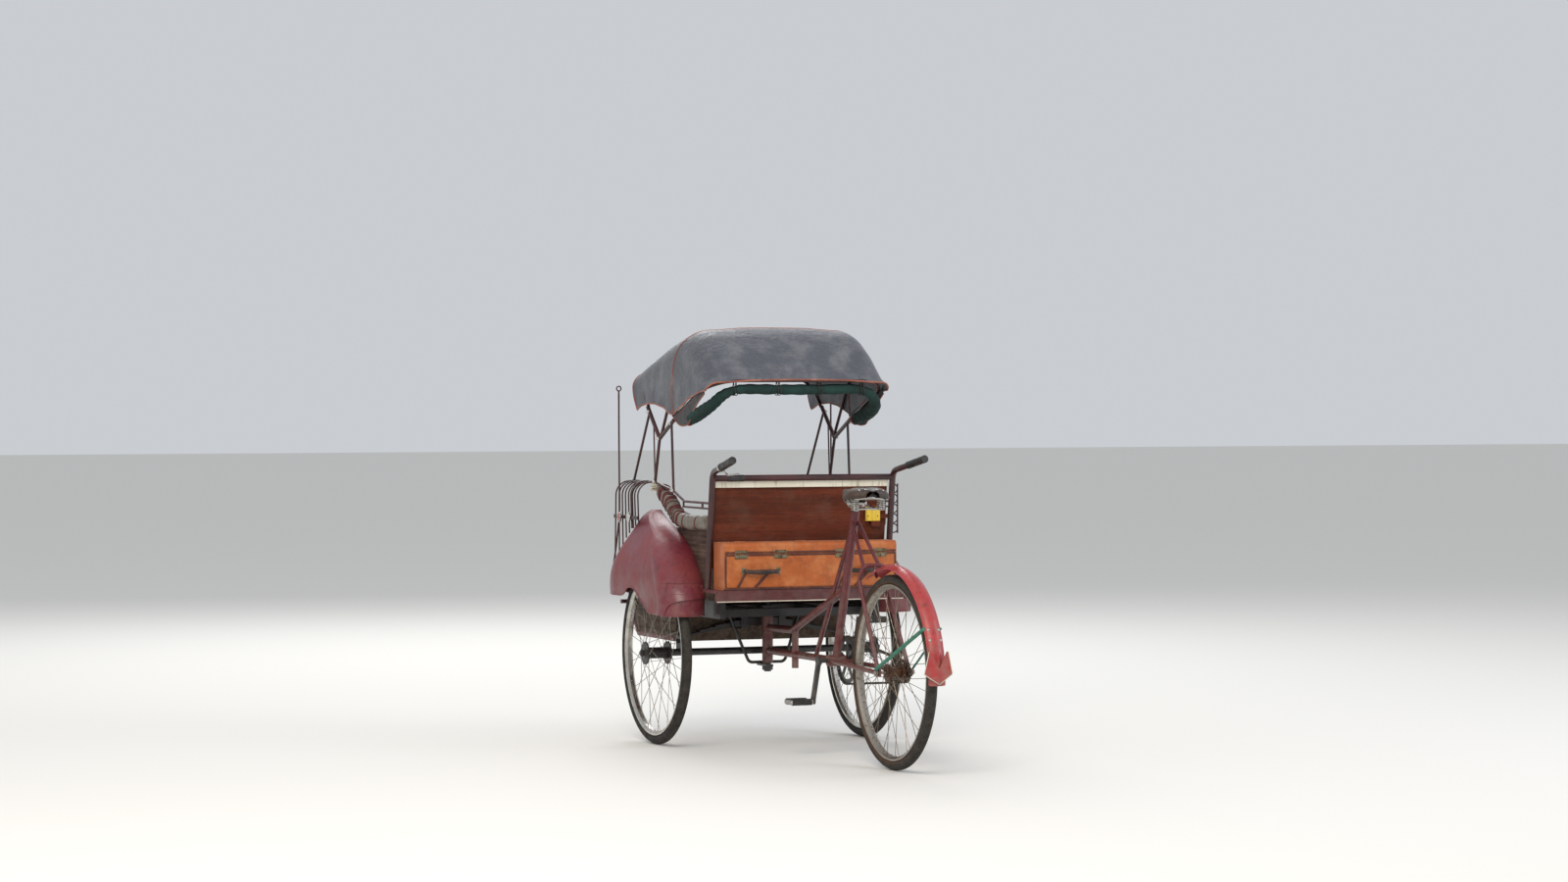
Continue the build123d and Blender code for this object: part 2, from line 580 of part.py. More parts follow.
def along(start, end, share):
    """Point on a straight piece of the ironwork, given as (ahead, height)."""
    return (-POST_X, ahead(start[0] + (end[0] - start[0]) * share), start[1] + (end[1] - start[1]) * share)


stays = [rod((-POST_X, ahead(190), foot_z), along(HOOD_PIVOT, HOOD_PIVOT, 0), 6),
         rod((-POST_X, ahead(432), foot_z), along(HOOD_PIVOT, FRONT_ARM, 0.84), 5),
         rod((-POST_X, ahead(-17), 985), along(HOOD_PIVOT, REAR_ARM, 0.83), 5),
         rod((-POST_X, ahead(190), foot_z), along(HOOD_PIVOT, FRONT_ARM, 0.5), 3)]
for tip in (FRONT_ARM, REAR_ARM):
    stays.append(rod(along(HOOD_PIVOT, tip, 0), along(HOOD_PIVOT, tip, 1), 8))
rail_points = [(POST_Y - 38, 947), (-137, 947), (-17, 985), (190, foot_z)]
stays.append(bent([(-POST_X, ahead(y), z) for y, z in rail_points], 5, 20))
stays.append(rod((-POST_X, ahead(POST_Y - 36), 926), (-POST_X, ahead(-120), 926), 4))
for y in (-330, -127):
    stays.append(rod((-POST_X, ahead(y), 926), (-POST_X, ahead(y), 947), 4))
irons = fused(*stays) - fused(*posts) - ribs
irons_right = other_side(irons)
save("hood_irons_left", irons)
save("hood_irons_right", irons_right)

# Hood: three bows, the front one low, and a cover stretched over them
FRONT_BOW = (404.0, 1439.5)
MID_BOW = (-146.5, 1598.0)
REAR_BOW = (-404.0, 1412.0)
COVER_X = HOOD_X + 8
COVER_SIDE = (
    # hem and roof of the cover seen from the side: ahead of the axle, height
    (385, 1298), (432, 1406), (414, 1447), (-150, 1618), (-412, 1418), (-230, 1352),
    (-20, 1274), (68, 1298), (140, 1322), (255, 1328),
)


def cover_form(shrink):
    """Solid under the cover, its roof edges rounded; shrunk, it is the space inside, open in front and below."""
    half = COVER_X - shrink
    outline = COVER_SIDE
    if shrink:
        roof = [(y, z - shrink) for y, z in COVER_SIDE[2:5]]
        outline = [(470, 1230), (470, roof[0][1] - 16), *roof, (-460, roof[2][1] - 34), (-460, 1230)]
    block = plate_yz([(ahead(y), z) for y, z in outline], -half, half)
    apex = block.edges().filter_by(Axis.X).sort_by(Axis.Z)[-1]
    block = fillet(apex, HOOD_APEX - shrink)
    ridge = [e for e in block.edges() if abs(abs(e.center().X) - half) < 1 and e.center().Z > 1470]
    return fillet(ridge, HOOD_ROUND - shrink)


cover = cover_form(0) - cover_form(COVER_T)
save("hood_cover", cover)


def bow(top, leg_from, inset):
    """Bow: up from the arm on one side, across, and down on the other."""
    x = HOOD_X - inset
    low = (ahead(leg_from[0]), leg_from[1])
    high = (ahead(top[0]), top[1])
    points = [(-x, *low), (-x, *high), (x, *high), (x, *low)]
    return bent(points, BOW_R, HOOD_ROUND + 20)


bows = [bow(FRONT_BOW, FRONT_ARM, 2), bow(MID_BOW, HOOD_PIVOT, 2), bow(REAR_BOW, REAR_ARM, 2)]
save("hood_bows", fused(*bows) - irons - irons_right)

# Rolled curtain under the rear bow, its ends drooping along both sides, hung by straps
roll_half = [(-ROLL_X, ahead(-110), 1272), (-ROLL_X, ahead(-384), 1352), (-262, ahead(-384), 1378)]
roll_points = roll_half + [(-x, y, z) for x, y, z in reversed(roll_half)]
roll = bent(roll_points, ROLL_R, 60)
save("curtain_roll", roll)
straps = [box(x - 9, x + 9, ahead(-390), ahead(-386), 1378, 1402) for x in (-250, -85, 85, 250)]
save("curtain_straps", *[strap - roll - bows[2] for strap in straps])

# Number plate and its board beside the right post, and ornamental bars on both posts
plate_x = PLATE_MIDDLE[0]
board = box(plate_x - 4, plate_x + 32, ahead(BOARD_Y), ahead(BOARD_Y + BOARD_T), 850, 935)
board_arm = box(plate_x - 28, POST_X, ahead(BOARD_Y), ahead(BOARD_Y + BOARD_T), PLATE_MIDDLE[1] - 8,
                PLATE_MIDDLE[1] + 8)
plate = box(plate_x - 30, plate_x + 30, ahead(BOARD_Y - 3), ahead(BOARD_Y), 872, 926)
save("number_board", fused(board, board_arm) - fused(*posts) - plate_holes)
save("number_plate", plate - plate_holes)

# Openwork strip of rings and a bar on the outside of the right post
scroll_x = POST_X + 44
scroll = [rod((scroll_x, ahead(POST_Y), SCROLL_LOW), (scroll_x, ahead(POST_Y), SCROLL_HIGH), 3)]
ring_count = 5
ring_r = (scroll_x - POST_X - POST_R) / 2 + 0.5
for i in range(ring_count):
    z = SCROLL_LOW + (i + 0.5) * (SCROLL_HIGH - SCROLL_LOW) / ring_count
    ring_plane = Plane(origin=(POST_X + POST_R + ring_r - 1, ahead(POST_Y), z), z_dir=(0, 1, 0))
    scroll.append(ring_plane * Torus(ring_r, 2.5))
save("post_scroll", fused(*scroll) - fused(*posts) - other_side(rest))

# Rear half: a sleeve turning on the kingpin, two arms, a brace, and a bicycle frame
sleeve_low = strap_z + 8 + 6
sleeve_high = RAIL_Z - 6
sleeve = rod((0, ahead(PIN_Y), sleeve_low), (0, ahead(PIN_Y), sleeve_high), HOUSING_R)
bore = rod((0, ahead(PIN_Y), sleeve_low - 5), (0, ahead(PIN_Y), sleeve_high + 5), PIN_R + RUN_FIT)


def spot(y, z, x=0.0):
    """Point given by its distance ahead of the front axle and its height."""
    return (x, ahead(y), z)


seat_dir = Vector(0, SEAT_TUBE_TOP[0] - BB_Y, SEAT_TUBE_TOP[1] - BB_Z).normalized()
cluster = (SEAT_TUBE_TOP[0] + 12, SEAT_TUBE_TOP[1] - 36)
tubes = [rod(spot(PIN_Y - 10, ARM_LOW), spot(BB_Y, BB_Z), FRAME_R - 2),
         bent([spot(PIN_Y - 10, ARM_HIGH), spot(BRACE_Y + 25, ARM_HIGH + 6), spot(-845, 630)], FRAME_R - 2, 60),
         rod(spot(BRACE_Y, ARM_LOW - 50), spot(BRACE_Y, ARM_HIGH + 22), FRAME_R - 3),
         rod(spot(BB_Y, BB_Z), spot(*SEAT_TUBE_TOP), FRAME_R),
         rod(spot(cluster[0], cluster[1]), spot(-560, ARM_LOW + 4), 9),
         disc(-BB_HALF, BB_HALF, ahead(BB_Y), BB_Z, BB_R)]
stays_back = []
for side in (-1, 1):
    out = side * DROPOUT_X
    stays_back.append(rod((side * 22, ahead(BB_Y), BB_Z), (out, REAR_Y + 14, AXLE_Z), STAY_R + 1))
    shoulder = (side * 50, ahead(ARCH_SHOULDER_Y), ARCH_Z - ARCH_SHOULDER_DROP)
    bridge_end = (side * 34, ahead(ARCH_Y + 8), ARCH_Z - ARCH_BOLT_DROP)
    stays_back.append(rod((out, REAR_Y, AXLE_Z), shoulder, STAY_R))
    stays_back.append(rod(bridge_end, (side * 11, ahead(cluster[0]), cluster[1]), STAY_R - 1))
    drop = box(out - 4, out + 4, REAR_Y - 16, REAR_Y + 26, AXLE_Z - 14, AXLE_Z + 14)
    stays_back.append(drop)
arch_points = [(-50, ahead(ARCH_SHOULDER_Y), ARCH_Z - ARCH_SHOULDER_DROP), (-44, ahead(ARCH_Y), ARCH_Z - ARCH_DROP),
               (44, ahead(ARCH_Y), ARCH_Z - ARCH_DROP), (50, ahead(ARCH_SHOULDER_Y), ARCH_Z - ARCH_SHOULDER_DROP)]
stays_back.append(bent(arch_points, STAY_R, 28))
axle_back = [disc(-DROPOUT_X - 16, DROPOUT_X + 16, REAR_Y, AXLE_Z, REAR_SPINDLE_R)]
for side in (-1, 1):
    nut = Plane(origin=(side * (DROPOUT_X + 4), REAR_Y, AXLE_Z), z_dir=(side, 0, 0)) * RegularPolygon(9, 6)
    axle_back.append(extrude(nut, amount=7))
bb_bore = disc(-BB_HALF - 20, BB_HALF + 20, ahead(BB_Y), BB_Z, SPINDLE_R + RUN_FIT)
guard_bolt_top = Vector(*spot(ARCH_Y, ARCH_Z - ARCH_DROP))
guard_bolt = rod(tuple(guard_bolt_top), tuple(guard_bolt_top + (Vector(0, REAR_Y, AXLE_Z) - guard_bolt_top) * 0.12), 5)
spindle = fused(*axle_back)
frame = fused(sleeve, *tubes, *stays_back, guard_bolt) - bore - bb_bore - spindle
save("rear_frame", frame)
save("rear_spindle", spindle)

# Rear mudguard: a crowned strip round the wheel, with a shield-shaped flap and two stays
GUARD_START = -28.0
GUARD_SWEEP = 121.0
GUARD_CROWN = 14.0
GUARD_RIB = 1.5
half = GUARD_W / 2
top = AXLE_Z + GUARD_R
guard_low = top - GUARD_CROWN
guard_over = Edge.make_three_point_arc((-half, REAR_Y, guard_low), (0, REAR_Y, top), (half, REAR_Y, guard_low))
guard_under = Edge.make_three_point_arc((half, REAR_Y, guard_low - GUARD_T), (0, REAR_Y, top - GUARD_T),
                                        (-half, REAR_Y, guard_low - GUARD_T))
guard_face = make_face(Wire([guard_over, Edge.make_line(guard_over @ 1, guard_under @ 0), guard_under,
                             Edge.make_line(guard_under @ 1, guard_over @ 0)]))
rib_line = [(-6, -1), (6, -1), (4, GUARD_RIB), (-4, GUARD_RIB)]
rib_face = make_face(Polyline(*[(x, REAR_Y, top + z) for x, z in rib_line], close=True))
hub_axis = Axis((0, REAR_Y, AXLE_Z), (1, 0, 0))
guard = revolve(guard_face.rotate(hub_axis, GUARD_START), axis=hub_axis, revolution_arc=GUARD_SWEEP)
guard += revolve(rib_face.rotate(hub_axis, GUARD_START), axis=hub_axis, revolution_arc=GUARD_SWEEP)
guard = guard - frame
save("rear_mudguard", guard)
flap_outline = [(0, 40), (31, 100), (37, 100), (55, 20), (0, -16)]
flap_y = REAR_Y - GUARD_R - 4
fold = 10.0
leaf_points = [(x, flap_y + x * math.tan(math.radians(fold)), AXLE_Z + z) for x, z in flap_outline]
right_leaf = extrude(make_face(Polyline(*leaf_points, close=True)), amount=3, dir=(0, -1, 0))
left_leaf = other_side(right_leaf)
flap = fused(right_leaf, left_leaf) - guard
save("mud_flap", flap)
stay_reach = Vector(*STAY_WAY).normalized() * (GUARD_R - STAY_IN)
stay_end = (-GUARD_W / 2 - 2, REAR_Y + stay_reach.Y, AXLE_Z + stay_reach.Z)
stay_start = (-DROPOUT_X - 11, REAR_Y - 4, AXLE_Z + 14)
left_stay = rod(stay_start, stay_end, 7) - guard - frame - spindle
right_stay = rod((-stay_start[0], *stay_start[1:]), (-stay_end[0], *stay_end[1:]), 4) - guard - frame - spindle
save("mudguard_stays", left_stay, right_stay)

# Saddle on its post: a leather top over a sprung frame
post_top = Vector(*spot(*SEAT_TUBE_TOP)) + seat_dir * 34
seat_post = rod(spot(*SEAT_TUBE_TOP), tuple(post_top), 12)
saddle_low = SEAT_TUBE_TOP[1] + 46
plan = Wire([Edge.make_three_point_arc(spot(-1030, saddle_low, 88), spot(-1108, saddle_low, 0), spot(-1030, saddle_low, -88)),
             Edge.make_line(spot(-1030, saddle_low, -88), spot(-940, saddle_low, -24)),
             Edge.make_line(spot(-940, saddle_low, -24), spot(-862, saddle_low, -20)),
             Edge.make_three_point_arc(spot(-862, saddle_low, -20), spot(-842, saddle_low, 0), spot(-862, saddle_low, 20)),
             Edge.make_line(spot(-862, saddle_low, 20), spot(-940, saddle_low, 24)),
             Edge.make_line(spot(-940, saddle_low, 24), spot(-1030, saddle_low, 88))])
saddle = extrude(make_face(plan), amount=42, dir=(0, 0, 1))
saddle = fillet(saddle.faces().sort_by(Axis.Z)[-1].edges(), 14)
save("saddle", saddle)
rail_z = saddle_low - 14
springs = [rod(spot(-1060, rail_z - 26, x), spot(-1060, saddle_low, x), 15) for x in (-52, 52)]
rails = [rod(spot(-1060, rail_z - 22, x), spot(-870, rail_z, x * 0.25), 4) for x in (-52, 52)]
rails.append(box(-60, 60, ahead(-1066), ahead(-1054), rail_z - 26, rail_z - 18))
rails.append(rod(spot(-870, rail_z - 8), spot(-870, saddle_low), 14))
clamp = disc(-34, 34, post_top.Y, post_top.Z - 4, 15)
saddle_frame = fused(*springs, *rails, clamp) - seat_post

save("saddle_frame", saddle_frame)
save("seat_post", seat_post - frame)

# Cranks, chain wheel and pedals
pitch_r = PITCH / (2 * math.sin(math.pi / RING_TEETH))
cog_pitch_r = PITCH / (2 * math.sin(math.pi / COG_TEETH))
turn = math.radians(CRANK_ANGLE)
reach = (CRANK_L * math.sin(turn), -CRANK_L * math.cos(turn))
crank = [disc(-CRANK_X, CRANK_X, ahead(BB_Y), BB_Z, SPINDLE_R)]
pedals = {}
for side, name in ((-1, "pedal_left"), (1, "pedal_right")):
    way = 1 if side < 0 else -1
    py, pz = ahead(BB_Y) + way * reach[0], BB_Z + way * reach[1]
    x0 = side * (CRANK_X - CRANK_T / 2)
    x1 = side * (CRANK_X + CRANK_T / 2)
    crank.append(disc(x0, x1, ahead(BB_Y), BB_Z, 17))
    crank.append(disc(x0, x1, py, pz, 12))
    arm = Plane(origin=(x0, ahead(BB_Y), BB_Z), x_dir=(0, way * math.sin(turn), -way * math.cos(turn)), z_dir=(side, 0, 0))
    crank.append(extrude(arm * (Pos(CRANK_L / 2, 0) * Rectangle(CRANK_L, 19)), amount=CRANK_T))
    near = side * (CRANK_X + CRANK_T / 2 + 6)
    far = side * (CRANK_X + CRANK_T / 2 + 6 + PEDAL_W)
    crank.append(disc(side * CRANK_X, far, py, pz, PEDAL_SPINDLE_R))
    body = [disc(near, far + side * 3, py, pz, 11)]
    for end in (near, far - side * 4):
        body.append(box(end, end + side * 4, py - PEDAL_L / 2, py + PEDAL_L / 2, pz - 8, pz + 8))
    for offset in (-1, 1):
        middle = py + offset * (PEDAL_L / 2 - 12)
        body.append(box(near + side * 4, far - side * 4, middle - 12, middle + 12, pz - PEDAL_T / 2, pz + PEDAL_T / 2))
    pedals[name] = fused(*body) - disc(near - side, far + side, py, pz, PEDAL_SPINDLE_R + RUN_FIT)
    save(name, pedals[name])
ring_place = Pos(0, ahead(BB_Y), BB_Z)
crank.append(ring_place * toothed_ring(RING_TEETH, pitch_r - 18, CHAIN_X - PLATE_T / 2))
for i in range(5):
    spoke = box(CHAIN_X - PLATE_T / 2, CHAIN_X + PLATE_T / 2 + 2, -8, 8, 0, pitch_r - 12)
    crank.append(ring_place * (Rot(X=72 * i) * spoke))
crank.append(disc(CHAIN_X - 3, CRANK_X, ahead(BB_Y), BB_Z, 19))
crankset = fused(*crank)

save("crankset", crankset)


def belt(grow, x0, x1):
    """Plate whose outline runs round both chain wheels, grown from their pitch circles."""
    front, back = Vector(0, ahead(BB_Y), BB_Z), Vector(0, REAR_Y, AXLE_Z)
    r1, r2 = pitch_r + grow, cog_pitch_r + grow
    line = back - front
    tilt = math.acos((r1 - r2) / line.length)
    base = math.atan2(line.Z, line.Y)

    def on(centre, radius, angle):
        return (x0, centre.Y + radius * math.cos(angle), centre.Z + radius * math.sin(angle))

    a, b = on(front, r1, base + tilt), on(front, r1, base - tilt)
    c, d = on(back, r2, base - tilt), on(back, r2, base + tilt)
    wire = Wire([Edge.make_three_point_arc(a, on(front, r1, base + math.pi), b), Edge.make_line(b, c),
                 Edge.make_three_point_arc(c, on(back, r2, base), d), Edge.make_line(d, a)])
    return extrude(make_face(wire), amount=x1 - x0, dir=(1, 0, 0))


half_h = CHAIN_H / 2
chain = []
for x in (CHAIN_X - 5, CHAIN_X + 3):
    chain.append(belt(half_h, x, x + 2) - belt(-half_h, x - 1, x + 3))
front, back = Vector(0, ahead(BB_Y), BB_Z), Vector(0, REAR_Y, AXLE_Z)
line = back - front
tilt = math.acos((pitch_r - cog_pitch_r) / line.length)
base = math.atan2(line.Z, line.Y)
for way in (-1, 1):
    angle = base + way * tilt
    start = Vector(0, front.Y + pitch_r * math.cos(angle), front.Z + pitch_r * math.sin(angle))
    stop = Vector(0, back.Y + cog_pitch_r * math.cos(angle), back.Z + cog_pitch_r * math.sin(angle))
    run = stop - start
    for i in range(4, int(run.length / PITCH) - 1):
        at = start + run * (i * PITCH / run.length)
        pin_plane = Plane(origin=(CHAIN_X - 4, at.Y, at.Z), z_dir=(1, 0, 0))
        chain.append(extrude(pin_plane * RegularPolygon(3.6, 6), amount=8))
chain_loop = fused(*chain)

save("chain", chain_loop)

# Brake lever clamped to the left handle
left_end = Vector(-handle_end[0], handle_end[1], handle_end[2])
left_knee = Vector(-POST_X, ahead(post_top_y - 3), BAR_Z + 22)
along_grip = (left_end - left_knee)
clamp_at = left_knee + along_grip * 0.42
clamp_to = clamp_at + along_grip.normalized() * 16
lever = [rod(tuple(clamp_at), tuple(clamp_to), POST_R + 5),
         bent([tuple(clamp_at), tuple(clamp_at + Vector(22, -10, -28)), tuple(clamp_at + Vector(26, -118, -22))], 4, 14)]
save("brake_lever", fused(*lever) - fused(*posts))
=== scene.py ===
import math

import bpy
import numpy as np
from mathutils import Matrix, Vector
from mathutils.bvhtree import BVHTree


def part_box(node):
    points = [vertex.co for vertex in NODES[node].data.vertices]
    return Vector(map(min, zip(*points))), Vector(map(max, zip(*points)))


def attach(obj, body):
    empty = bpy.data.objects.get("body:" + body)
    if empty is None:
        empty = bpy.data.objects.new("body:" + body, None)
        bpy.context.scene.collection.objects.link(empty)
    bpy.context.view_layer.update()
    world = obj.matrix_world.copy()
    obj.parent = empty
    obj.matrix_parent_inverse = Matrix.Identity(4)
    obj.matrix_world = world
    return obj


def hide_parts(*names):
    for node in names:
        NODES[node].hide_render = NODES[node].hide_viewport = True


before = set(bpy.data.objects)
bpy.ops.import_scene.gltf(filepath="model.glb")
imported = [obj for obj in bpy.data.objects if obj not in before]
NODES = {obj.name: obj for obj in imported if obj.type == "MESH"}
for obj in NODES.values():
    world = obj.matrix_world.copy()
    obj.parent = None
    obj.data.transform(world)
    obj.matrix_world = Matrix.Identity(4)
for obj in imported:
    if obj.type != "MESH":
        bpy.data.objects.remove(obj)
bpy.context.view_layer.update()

bl_info = {
    "name": "Cycle rickshaw",
    "version": (1, 0, 0),
    "blender": (4, 5, 0),
    "location": "3D View > Sidebar > Rickshaw",
    "description": "Dresses the packed frame of a front-loading cycle rickshaw",
    "category": "Object",
}

# Places in the tables are in millimetres; the sizes of small turned and pressed shapes are in metres
MM = 0.001
RIGHT, AHEAD, UP = (1, 0, 0), (0, 1, 0), (0, 0, 1)
SIDES = ((-1, "left"), (1, "right"))

# The photograph's view, solved from the three wheels: place and direction in the row frame, and the lens
CAMERA_PLACE = (-5.8109, -13.9611, 1.4202)
CAMERA_AIM = (0.376906, 0.926119, -0.015654)
LENS = 91.52

# Where the parts of the vehicle are, read from the frame
AXLE_Y = sum(corner.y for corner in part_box("front_left_tyre")) / 2
AXLE_Z = sum(corner.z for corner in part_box("front_left_tyre")) / 2
REAR_Y = sum(corner.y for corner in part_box("rear_tyre")) / 2


def ahead(distance):
    """Row-frame y in metres of a place given in millimetres ahead of the front axle."""
    return AXLE_Y + np.asarray(distance) * MM


def at(x, y, z):
    """Row-frame places of millimetres: x across from the middle, y ahead of the front axle and z up."""
    return np.stack(np.broadcast_arrays(np.asarray(x) * MM, ahead(y), np.asarray(z) * MM), -1)


# ---------------------------------------------------------------- meshes


def unit(vectors):
    """Each vector divided by its own length."""
    return vectors / np.maximum(np.linalg.norm(vectors, axis=-1, keepdims=True), 1e-12)


def curve_through(points, count):
    """count places on a smooth line through the points: on each span the cubic that leaves and reaches its ends
    along the chord of their neighbours (a Catmull-Rom spline), at even steps of the span number."""
    points = np.asarray(points, float)
    padded = np.vstack([2 * points[0] - points[1], points, 2 * points[-1] - points[-2]])
    along = np.linspace(0, len(points) - 1, count)
    span = np.minimum(along.astype(int), len(points) - 2)
    t = (along - span)[:, None]
    a, b, c, d = (padded[span + k] for k in range(4))
    return 0.5 * (2 * b + (c - a) * t + (2 * a - 5 * b + 4 * c - d) * t**2 + (3 * b - a - 3 * c + d) * t**3)


def evenly(points, count):
    """The same line walked at even steps of its own length."""
    length = np.concatenate([[0], np.cumsum(np.linalg.norm(np.diff(points, axis=0), axis=1))])
    steps = np.linspace(0, length[-1], count)
    return np.stack([np.interp(steps, length, points[:, k]) for k in range(points.shape[1])], axis=1)


def carried(path, profile, across, closed=False, scale=None):
    """A profile of (sideways, outward) offsets carried along a path: at each place the offsets are laid on two
    unit vectors square to the path, the first nearest to across, and scale widens them there. Returns a grid."""
    path = np.asarray(path, float)
    if closed:
        tangent = unit(np.roll(path, -1, axis=0) - np.roll(path, 1, axis=0))
    else:
        tangent = unit(np.gradient(path, axis=0))
    side = np.broadcast_to(np.asarray(across, float), path.shape)
    side = unit(side - (side * tangent).sum(1, keepdims=True) * tangent)
    out = np.cross(tangent, side)
    size = np.ones(len(path)) if scale is None else np.asarray(scale, float)
    offsets = profile[None, :, 0, None] * side[:, None] + profile[None, :, 1, None] * out[:, None]
    return path[:, None] + offsets * size[:, None, None]


def full_turn(count):
    """count angles at even steps round a circle."""
    return np.linspace(0, 2 * math.pi, count, endpoint=False)


def squircle(turn, power):
    """Reach of a rounded square (a superellipse of that power) at each angle."""
    return (np.abs(np.cos(turn)) ** power + np.abs(np.sin(turn)) ** power) ** (-1 / power)


def ring(radius, sides, flat=1.0):
    """A circle's offsets, flattened outward by flat."""
    turn = full_turn(sides)
    return np.stack([radius * np.cos(turn), radius * flat * np.sin(turn)], axis=1)


def grid_faces(rows, columns, round_rows=False, round_columns=False):
    """Vertex numbers of the quads of a grid whose rows, columns or both may close on themselves."""
    r = np.arange(rows if round_rows else rows - 1)
    c = np.arange(columns if round_columns else columns - 1)
    r, c = np.meshgrid(r, c, indexing="ij")
    r1, c1 = (r + 1) % rows, (c + 1) % columns
    return np.stack([r * columns + c, r * columns + c1, r1 * columns + c1, r1 * columns + c], -1).reshape(-1, 4)


def mesh_of(name, vertices, faces, uv=None):
    """A mesh from whole arrays: vertices (n, 3), faces a list of arrays of quads or triangles, and uv one (u, v)
    a vertex."""
    mesh = bpy.data.meshes.new(name)
    vertices = np.asarray(vertices, float).reshape(-1, 3)
    sizes = np.concatenate([np.full(len(f), f.shape[1]) for f in faces])
    loops = np.concatenate([f.ravel() for f in faces]).astype(np.int32)
    mesh.vertices.add(len(vertices))
    mesh.vertices.foreach_set("co", vertices.astype(np.float32).ravel())
    mesh.loops.add(len(loops))
    mesh.loops.foreach_set("vertex_index", loops)
    mesh.polygons.add(len(sizes))
    mesh.polygons.foreach_set("loop_start", np.concatenate([[0], np.cumsum(sizes)[:-1]]).astype(np.int32))
    if uv is not None:
        layer = mesh.uv_layers.new(name="Surface")
        layer.data.foreach_set("uv", np.asarray(uv, np.float32).reshape(-1, 2)[loops].ravel())
    mesh.update(calc_edges=True)
    mesh.validate()
    mesh.polygons.foreach_set("use_smooth", np.ones(len(mesh.polygons), bool))
    return mesh


def places_of(mesh):
    """The mesh's vertices as an array of places."""
    flat = np.empty(len(mesh.vertices) * 3, np.float32)
    mesh.vertices.foreach_get("co", flat)
    return flat.reshape(-1, 3).astype(float)


def set_places(mesh, places):
    """Moves the mesh's vertices to the places."""
    mesh.vertices.foreach_set("co", places.astype(np.float32).ravel())
    mesh.update()


class Shell:
    """Grids gathered into one mesh."""

    def __init__(self):
        self.vertices, self.faces, self.uv, self.count = [], [], [], 0

    def grid(self, points, round_rows=False, round_columns=True, flip=False, size=(1.0, 1.0)):
        """Adds a grid of points; a tube's first and last row are closed with a fan round their middle, and size is
        the grid's size on its UV map."""
        rows, columns = points.shape[:2]
        faces = [grid_faces(rows, columns, round_rows, round_columns)]
        flat = [points.reshape(-1, 3)]
        u, v = np.meshgrid(np.linspace(0, size[0], rows), np.linspace(0, size[1], columns), indexing="ij")
        uv = [np.stack([u, v], -1).reshape(-1, 2)]
        if round_columns and not round_rows:
            step = np.arange(columns)
            after = (step + 1) % columns
            first, last = rows * columns, rows * columns + 1
            flat += [points[0].mean(0)[None], points[-1].mean(0)[None]]
            uv.append(np.array([[0, 0.5], [1, 0.5]]))
            base = (rows - 1) * columns
            faces.append(np.stack([after, step, np.full(columns, first)], -1))
            faces.append(np.stack([base + step, base + after, np.full(columns, last)], -1))
        for f in faces:
            self.faces.append((f[:, ::-1] if flip else f) + self.count)
        self.vertices += flat
        self.uv += uv
        self.count += sum(len(f) for f in flat)
        return self

    def tube(self, path, radius, across, sides=12, flat=1.0, closed=False, scale=None):
        """A round or flattened bar along a path."""
        path = np.asarray(path, float)
        points = carried(path, ring(radius, sides, flat), across, closed, scale)
        length = np.linalg.norm(np.diff(path, axis=0), axis=1).sum()
        return self.grid(points, round_rows=closed, size=(length, 2 * math.pi * radius))

    def make(self, name):
        """The mesh, its faces turned outwards."""
        by_size = {}
        for f in self.faces:
            by_size.setdefault(f.shape[1], []).append(f)
        faces = [np.concatenate(group) for group in by_size.values()]
        return mesh_of(name, np.concatenate(self.vertices), faces, np.concatenate(self.uv))


def piece(name, shell, body, look, slot, *replaced, sharp=None):
    """A finished piece of a Shell, at the origin: its finish is set and it rides on its body.
    Its slot argument is not used."""
    mesh = shell.make(name)
    obj = bpy.data.objects.new(name, mesh)
    bpy.context.scene.collection.objects.link(obj)
    mesh.materials.append(finish(look))
    if sharp is not None:
        mesh.set_sharp_from_angle(angle=math.radians(sharp))
    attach(obj, body)
    if replaced:
        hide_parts(*replaced)
    return obj


# -------------------------------------------------------------- finishes


def linear(hex_colour):
    """An sRGB hex colour as linear red, green, blue and alpha."""
    value = np.array([int(hex_colour[k:k + 2], 16) for k in (0, 2, 4)]) / 255
    value = np.where(value <= 0.04045, value / 12.92, ((value + 0.055) / 1.055) ** 2.4)
    return (*[float(v) for v in value], 1.0)


WAVE_SPACING = 0.314  # metres between the bands of a wave texture whose scale is 1
TAPE_TURN = 0.018


def add(tree, kind, sockets=None, **settings):
    """A node of that kind: its settings are set, and each socket is given its value or linked to its source."""
    node = tree.nodes.new(kind)
    for key, value in settings.items():
        setattr(node, key, value)
    for key, value in (sockets or {}).items():
        if isinstance(value, bpy.types.NodeSocket):
            tree.links.new(value, node.inputs[key])
        else:
            node.inputs[key].default_value = value
    return node


def begin(name, **sockets):
    """A new material with its shader, whose sockets are filled by name, and the Object coordinates."""
    material = bpy.data.materials.new(name)
    material.use_nodes = True
    tree = material.node_tree
    tree.nodes.clear()
    shader = add(tree, "ShaderNodeBsdfPrincipled", {key.replace("_", " "): value for key, value in sockets.items()})
    add(tree, "ShaderNodeOutputMaterial", {"Surface": shader.outputs["BSDF"]})
    return material, tree, shader, add(tree, "ShaderNodeTexCoord").outputs["Object"]


